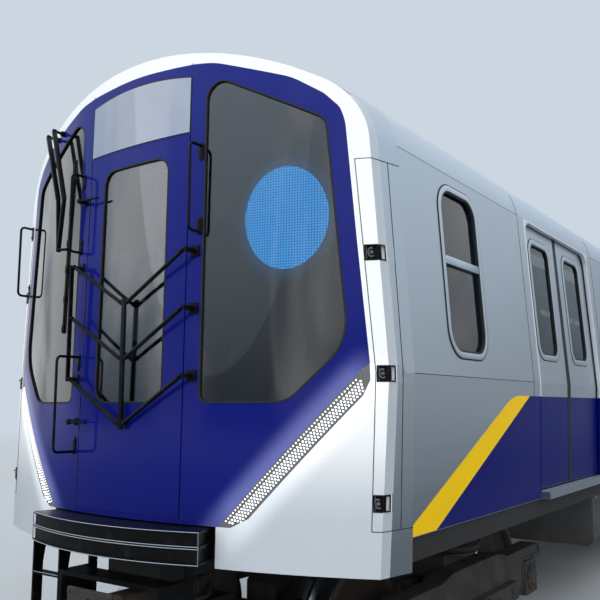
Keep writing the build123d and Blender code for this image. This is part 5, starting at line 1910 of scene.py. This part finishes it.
class METRO_OT_rear_end(bpy.types.Operator):
    """Window frames, door seal, grab bars, marker lamps and jumper sockets of the rear end"""

    bl_idname = "metro.rear_end"
    bl_label = "Rear end"

    def execute(self, context):
        def around(x, z, width, height, corner, grow, y, wide, thick, edge):
            points = window_outline(x, z + RAIL, width, height, corner, grow)
            return ring([Vector((p.y, y, p.z)) for p in points], wide, (0, thick, 0), edge)

        leaf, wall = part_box("rear_door")[1].y, BODY_END - 0.001
        frames, seals, metal = [], [], []
        for x in (-0.86, 0.86):
            window = (x, 2.43, 0.50, 0.86, 0.09)
            frames.append(around(*window, 0.030, wall, 0.034, 0.007, 0.003))
            seals.append(around(*window, 0.037, wall, 0.008, 0.004, 0.001))
            seals.append(around(*window, -0.001, BODY_END - 0.02, 0.012, 0.018, 0.002))
            bar, inner, outer = x * 0.60, BODY_END - 0.004, BODY_END + 0.07
            path = [(inner, 1.50), (outer, 1.50), (outer, 2.50), (inner, 2.50)]
            metal.append(tube([(bar, y, z + RAIL) for y, z in path], 0.012, bend=0.035))
            for z in (1.50, 2.50):
                metal.append(rod((bar, wall, z + RAIL), (bar, BODY_END + 0.006, z + RAIL), 0.030, 24, 0.002))
            lamp = x * 1.18
            rim = (lamp, BODY_END + 0.012, 3.27 + RAIL)
            metal.append(rod((lamp, wall, 3.27 + RAIL), rim, 0.060, 40, 0.003))
        door = [Vector((x, wall, z + RAIL)) for x, z in four(-0.402, 1.182, 0.402, 3.152)]
        seals.append(ring(rounded(door, 0.05, 6), -0.022, (0, 0.008, 0), 0.003))
        head, seam = 3.10 + RAIL, context.scene.metro_sizes.seam
        joints = [[(side * 1.18, SKIRT + 0.03), (side * 1.18, head), (side * 0.41, head)] for side in (-1, 1)]
        joints += [[(side * 0.41, WAIST), (side * (WAIST_HALF - 0.002), WAIST)] for side in (-1, 1)]
        for line in joints:
            seals.append(tube([(x, BODY_END - 0.0005, z) for x, z in line], seam, sides=1))
        finish(join(frames), "rear_window_frames", satin_aluminium())
        finish(join(seals), "rear_seals", rubber())
        finish(join(metal), "rear_grab_bars_and_lamp_rims", satin_aluminium())
        back, front = (BODY_END + 0.008, 3.27 + RAIL), (BODY_END + 0.022, 3.27 + RAIL)
        lenses = [rod((x, *back), (x, *front), 0.048, 40, 0.006) for x in (-0.86 * 1.18, 0.86 * 1.18)]
        finish(join(lenses), "red_marker_lenses", red_lens())
        sockets = []
        for x in (-0.86, 0.86):
            sockets.append(block((x - 0.10, x + 0.10), (BODY_END - 0.002, BODY_END + 0.060),
                                 (1.26 + RAIL, 1.42 + RAIL), 0.012, 3))
            start, end = (x, BODY_END + 0.055, 1.34 + RAIL), (x, BODY_END + 0.095, 1.33 + RAIL)
            sockets.append(rod(start, end, 0.052, 32, 0.008))
            hinge, reach = Vector((x, BODY_END + 0.065, 1.41 + RAIL)), Vector((0.05, 0, 0))
            sockets.append(rod(hinge - reach, hinge + reach, 0.008, 12))
        finish(join(sockets), "jumper_sockets", black_powder_coat())
        frame_ring = around(0, 2.55, 0.44, 0.80, 0.08, 0.026, leaf - 0.001, 0.030, 0.006, 0.002)
        kick = box((-0.33, leaf - 0.001, 1.24 + RAIL), (0.33, leaf + 0.002, 1.52 + RAIL), 0.0008, 1)
        path = [(0.335, leaf - 0.003), (0.335, leaf + 0.045), (0.235, leaf + 0.045)]
        handle = tube([(x, y, 2.02 + RAIL) for x, y in path], 0.009, bend=0.015)
        rose = rod((0.335, leaf - 0.001, 2.02 + RAIL), (0.335, leaf + 0.006, 2.02 + RAIL), 0.028, 24, 0.002)
        finish(join([frame_ring, kick, handle, rose]), "rear_door_fittings", satin_aluminium(), "rear_door")
        return {"FINISHED"}


class METRO_OT_roof(bpy.types.Operator):
    """Weld seams across the roof, and the louvred lids of the air conditioners beside its crown"""

    bl_idname = "metro.roof"
    bl_label = "Roof"

    def execute(self, context):
        seams, lids = [], []
        # Seams sink towards the crown, so that nothing stands above it.
        arc = [(0.05 * i, roof_z(0.05 * i) - (0.0024 if i < 2 else 0.0008)) for i in range(20)]
        for y in [-7.6 + 1.9 * i for i in range(9)]:
            for side in (-1, 1):
                seams.append(tube([(side * x, y, z) for x, z in arc], 0.0024, sides=1))
        for middle in (-5.75, 5.75):
            for side in (-1, 1):
                near, far = sorted((side * 0.21, side * 0.93))
                corners = four(near, middle - 1.25, far, middle + 1.25)
                rim = rounded([Vector((x, y, -0.001)) for x, y in corners], 0.06, 6)
                lids.append(onto_roof(ring(rim, 0.035, (0, 0, 0.007), 0.002)))
                for step in range(24):
                    y = middle - 1.16 + step * 0.098
                    slat = box((near + 0.07, y, -0.001), (far - 0.07, y + 0.045, 0.006), 0.002, 1)
                    lids.append(onto_roof(slat, 0.16))
        finish(join(seams), "roof_seams", brushed_stainless())
        finish(join(lids), "air_conditioner_lids", satin_aluminium())
        return {"FINISHED"}


class METRO_OT_stage(bpy.types.Operator):
    """Pale floor, soft light and the camera"""

    bl_idname = "metro.stage"
    bl_label = "Stage"

    def execute(self, context):
        scene = context.scene
        settings = scene.metro_stage
        bpy.ops.object.select_all(action="DESELECT")
        bpy.ops.mesh.primitive_plane_add(size=400, location=(0, 0, 0))
        floor = bpy.context.object
        floor.name = "floor"
        floor.data.materials.append(pale_floor())

        world = bpy.data.worlds.new("studio")
        scene.world = world
        world.use_nodes = True
        tree = world.node_tree
        tree.nodes.clear()
        way = add_node(tree, "TexCoord").outputs["Generated"]
        height = add_node(tree, "SeparateXYZ", {0: way}).outputs[2]
        rise = add_node(tree, "MapRange", {0: height, 1: 0.0, 2: 0.42, 3: 0.0, 4: 1.0})
        cloud = add_node(tree, "TexNoise", {"Vector": way, "Scale": 2.4, "Detail": 4, "Distortion": 0.5})
        bank = add_node(tree, "MapRange", {0: cloud.outputs[0], 1: 0.45, 2: 0.62, 3: 0.0, 4: 0.7},
                        interpolation_type="SMOOTHSTEP")
        clear = add_node(tree, "Mix", {0: rise.outputs[0], 6: linear("#4F5861"), 7: linear("#CFDFEF")},
                         data_type="RGBA")
        soft = add_node(tree, "Mix", {0: bank.outputs[0], 6: clear.outputs[2], 7: linear("#FFFFFF")},
                        data_type="RGBA")
        # Matt surfaces get an even light, shiny ones see soft banks, and the camera sees a plain backdrop.
        rays = add_node(tree, "LightPath").outputs
        seen = add_node(tree, "Math", {0: rays["Is Camera Ray"], 1: rays["Is Transmission Ray"]},
                        operation="MAXIMUM")
        matt = add_node(tree, "Background", {0: linear("#EEF1F4"), 1: 0.5})
        shiny = add_node(tree, "Background", {0: soft.outputs[2], 1: 1.15})
        plain = add_node(tree, "Background", {0: settings.backdrop, 1: 1.0})
        lit = add_node(tree, "MixShader", {0: rays["Is Glossy Ray"], 1: matt.outputs[0], 2: shiny.outputs[0]})
        mix = add_node(tree, "MixShader", {0: seen.outputs[0], 1: lit.outputs[0], 2: plain.outputs[0]})
        add_node(tree, "OutputWorld", {0: mix.outputs[0]})

        # Direction that each soft light shines in, its strength and how wide it spreads
        lamps = [
            ((0.35, 0.85, -0.50), 1.1, 50),
            ((-0.60, 0.65, -0.45), 1.35, 60),
            ((0.0, -0.5, -0.8), 0.7, 70),
        ]
        for number, (way, strength, spread) in enumerate(lamps, start=1):
            light = bpy.data.lights.new(f"soft_light_{number}", "SUN")
            light.energy, light.angle = strength, math.radians(spread)
            lamp = bpy.data.objects.new(light.name, light)
            lamp.rotation_euler = Vector(way).to_track_quat("-Z", "Y").to_euler()
            lamp.visible_glossy = False
            scene.collection.objects.link(lamp)

        data = bpy.data.cameras.new("camera")
        data.lens, data.sensor_width = settings.lens, 36
        data.clip_end = 500
        camera = bpy.data.objects.new("camera", data)
        camera.location = settings.camera_place
        camera.rotation_euler = (math.pi / 2 + settings.camera_tilt, 0, settings.camera_turn)
        scene.collection.objects.link(camera)
        scene.camera = camera
        scene.view_settings.view_transform = "Standard"
        return {"FINISHED"}


OPERATORS = (
    METRO_OT_stage, METRO_OT_finishes, METRO_OT_front_paint, METRO_OT_front_seals,
    METRO_OT_front_displays, METRO_OT_light_strips, METRO_OT_gate, METRO_OT_grab_bars, METRO_OT_wiper,
    METRO_OT_latches, METRO_OT_corner_hooks, METRO_OT_beam_edges, METRO_OT_side_livery,
    METRO_OT_joints, METRO_OT_side_windows, METRO_OT_door_leaves, METRO_OT_doorways, METRO_OT_wheels,
    METRO_OT_desk, METRO_OT_driver_seat, METRO_OT_saloon, METRO_OT_running_gear,
    METRO_OT_equipment, METRO_OT_couplers, METRO_OT_rear_end, METRO_OT_roof,
)


class METRO_PT_panel(bpy.types.Panel):
    """Lists the sizes, colours and steps of the metro car"""

    bl_idname = "METRO_PT_panel"
    bl_label = "Metro car"
    bl_space_type = "VIEW_3D"
    bl_region_type = "UI"
    bl_category = "Metro car"

    def draw(self, context):
        scene = context.scene
        for group in (scene.metro_sizes, scene.metro_colours, scene.metro_stage):
            column = self.layout.column(align=True)
            for name in group.bl_rna.properties.keys():
                if name not in ("rna_type", "name"):
                    column.prop(group, name)
        for operator in OPERATORS:
            self.layout.operator(operator.bl_idname)


CLASSES = (LiveryColours, DetailSizes, StageSettings, *OPERATORS, METRO_PT_panel)


def register():
    for made in CLASSES:
        bpy.utils.register_class(made)
    bpy.types.Scene.metro_colours = PointerProperty(type=LiveryColours)
    bpy.types.Scene.metro_sizes = PointerProperty(type=DetailSizes)
    bpy.types.Scene.metro_stage = PointerProperty(type=StageSettings)


def unregister():
    for name in ("metro_colours", "metro_sizes", "metro_stage"):
        delattr(bpy.types.Scene, name)
    for made in reversed(CLASSES):
        bpy.utils.unregister_class(made)


def main():
    register()
    for operator in OPERATORS:
        group, step = operator.bl_idname.split(".")
        getattr(getattr(bpy.ops, group), step)()


if __name__ == "__main__":
    main()
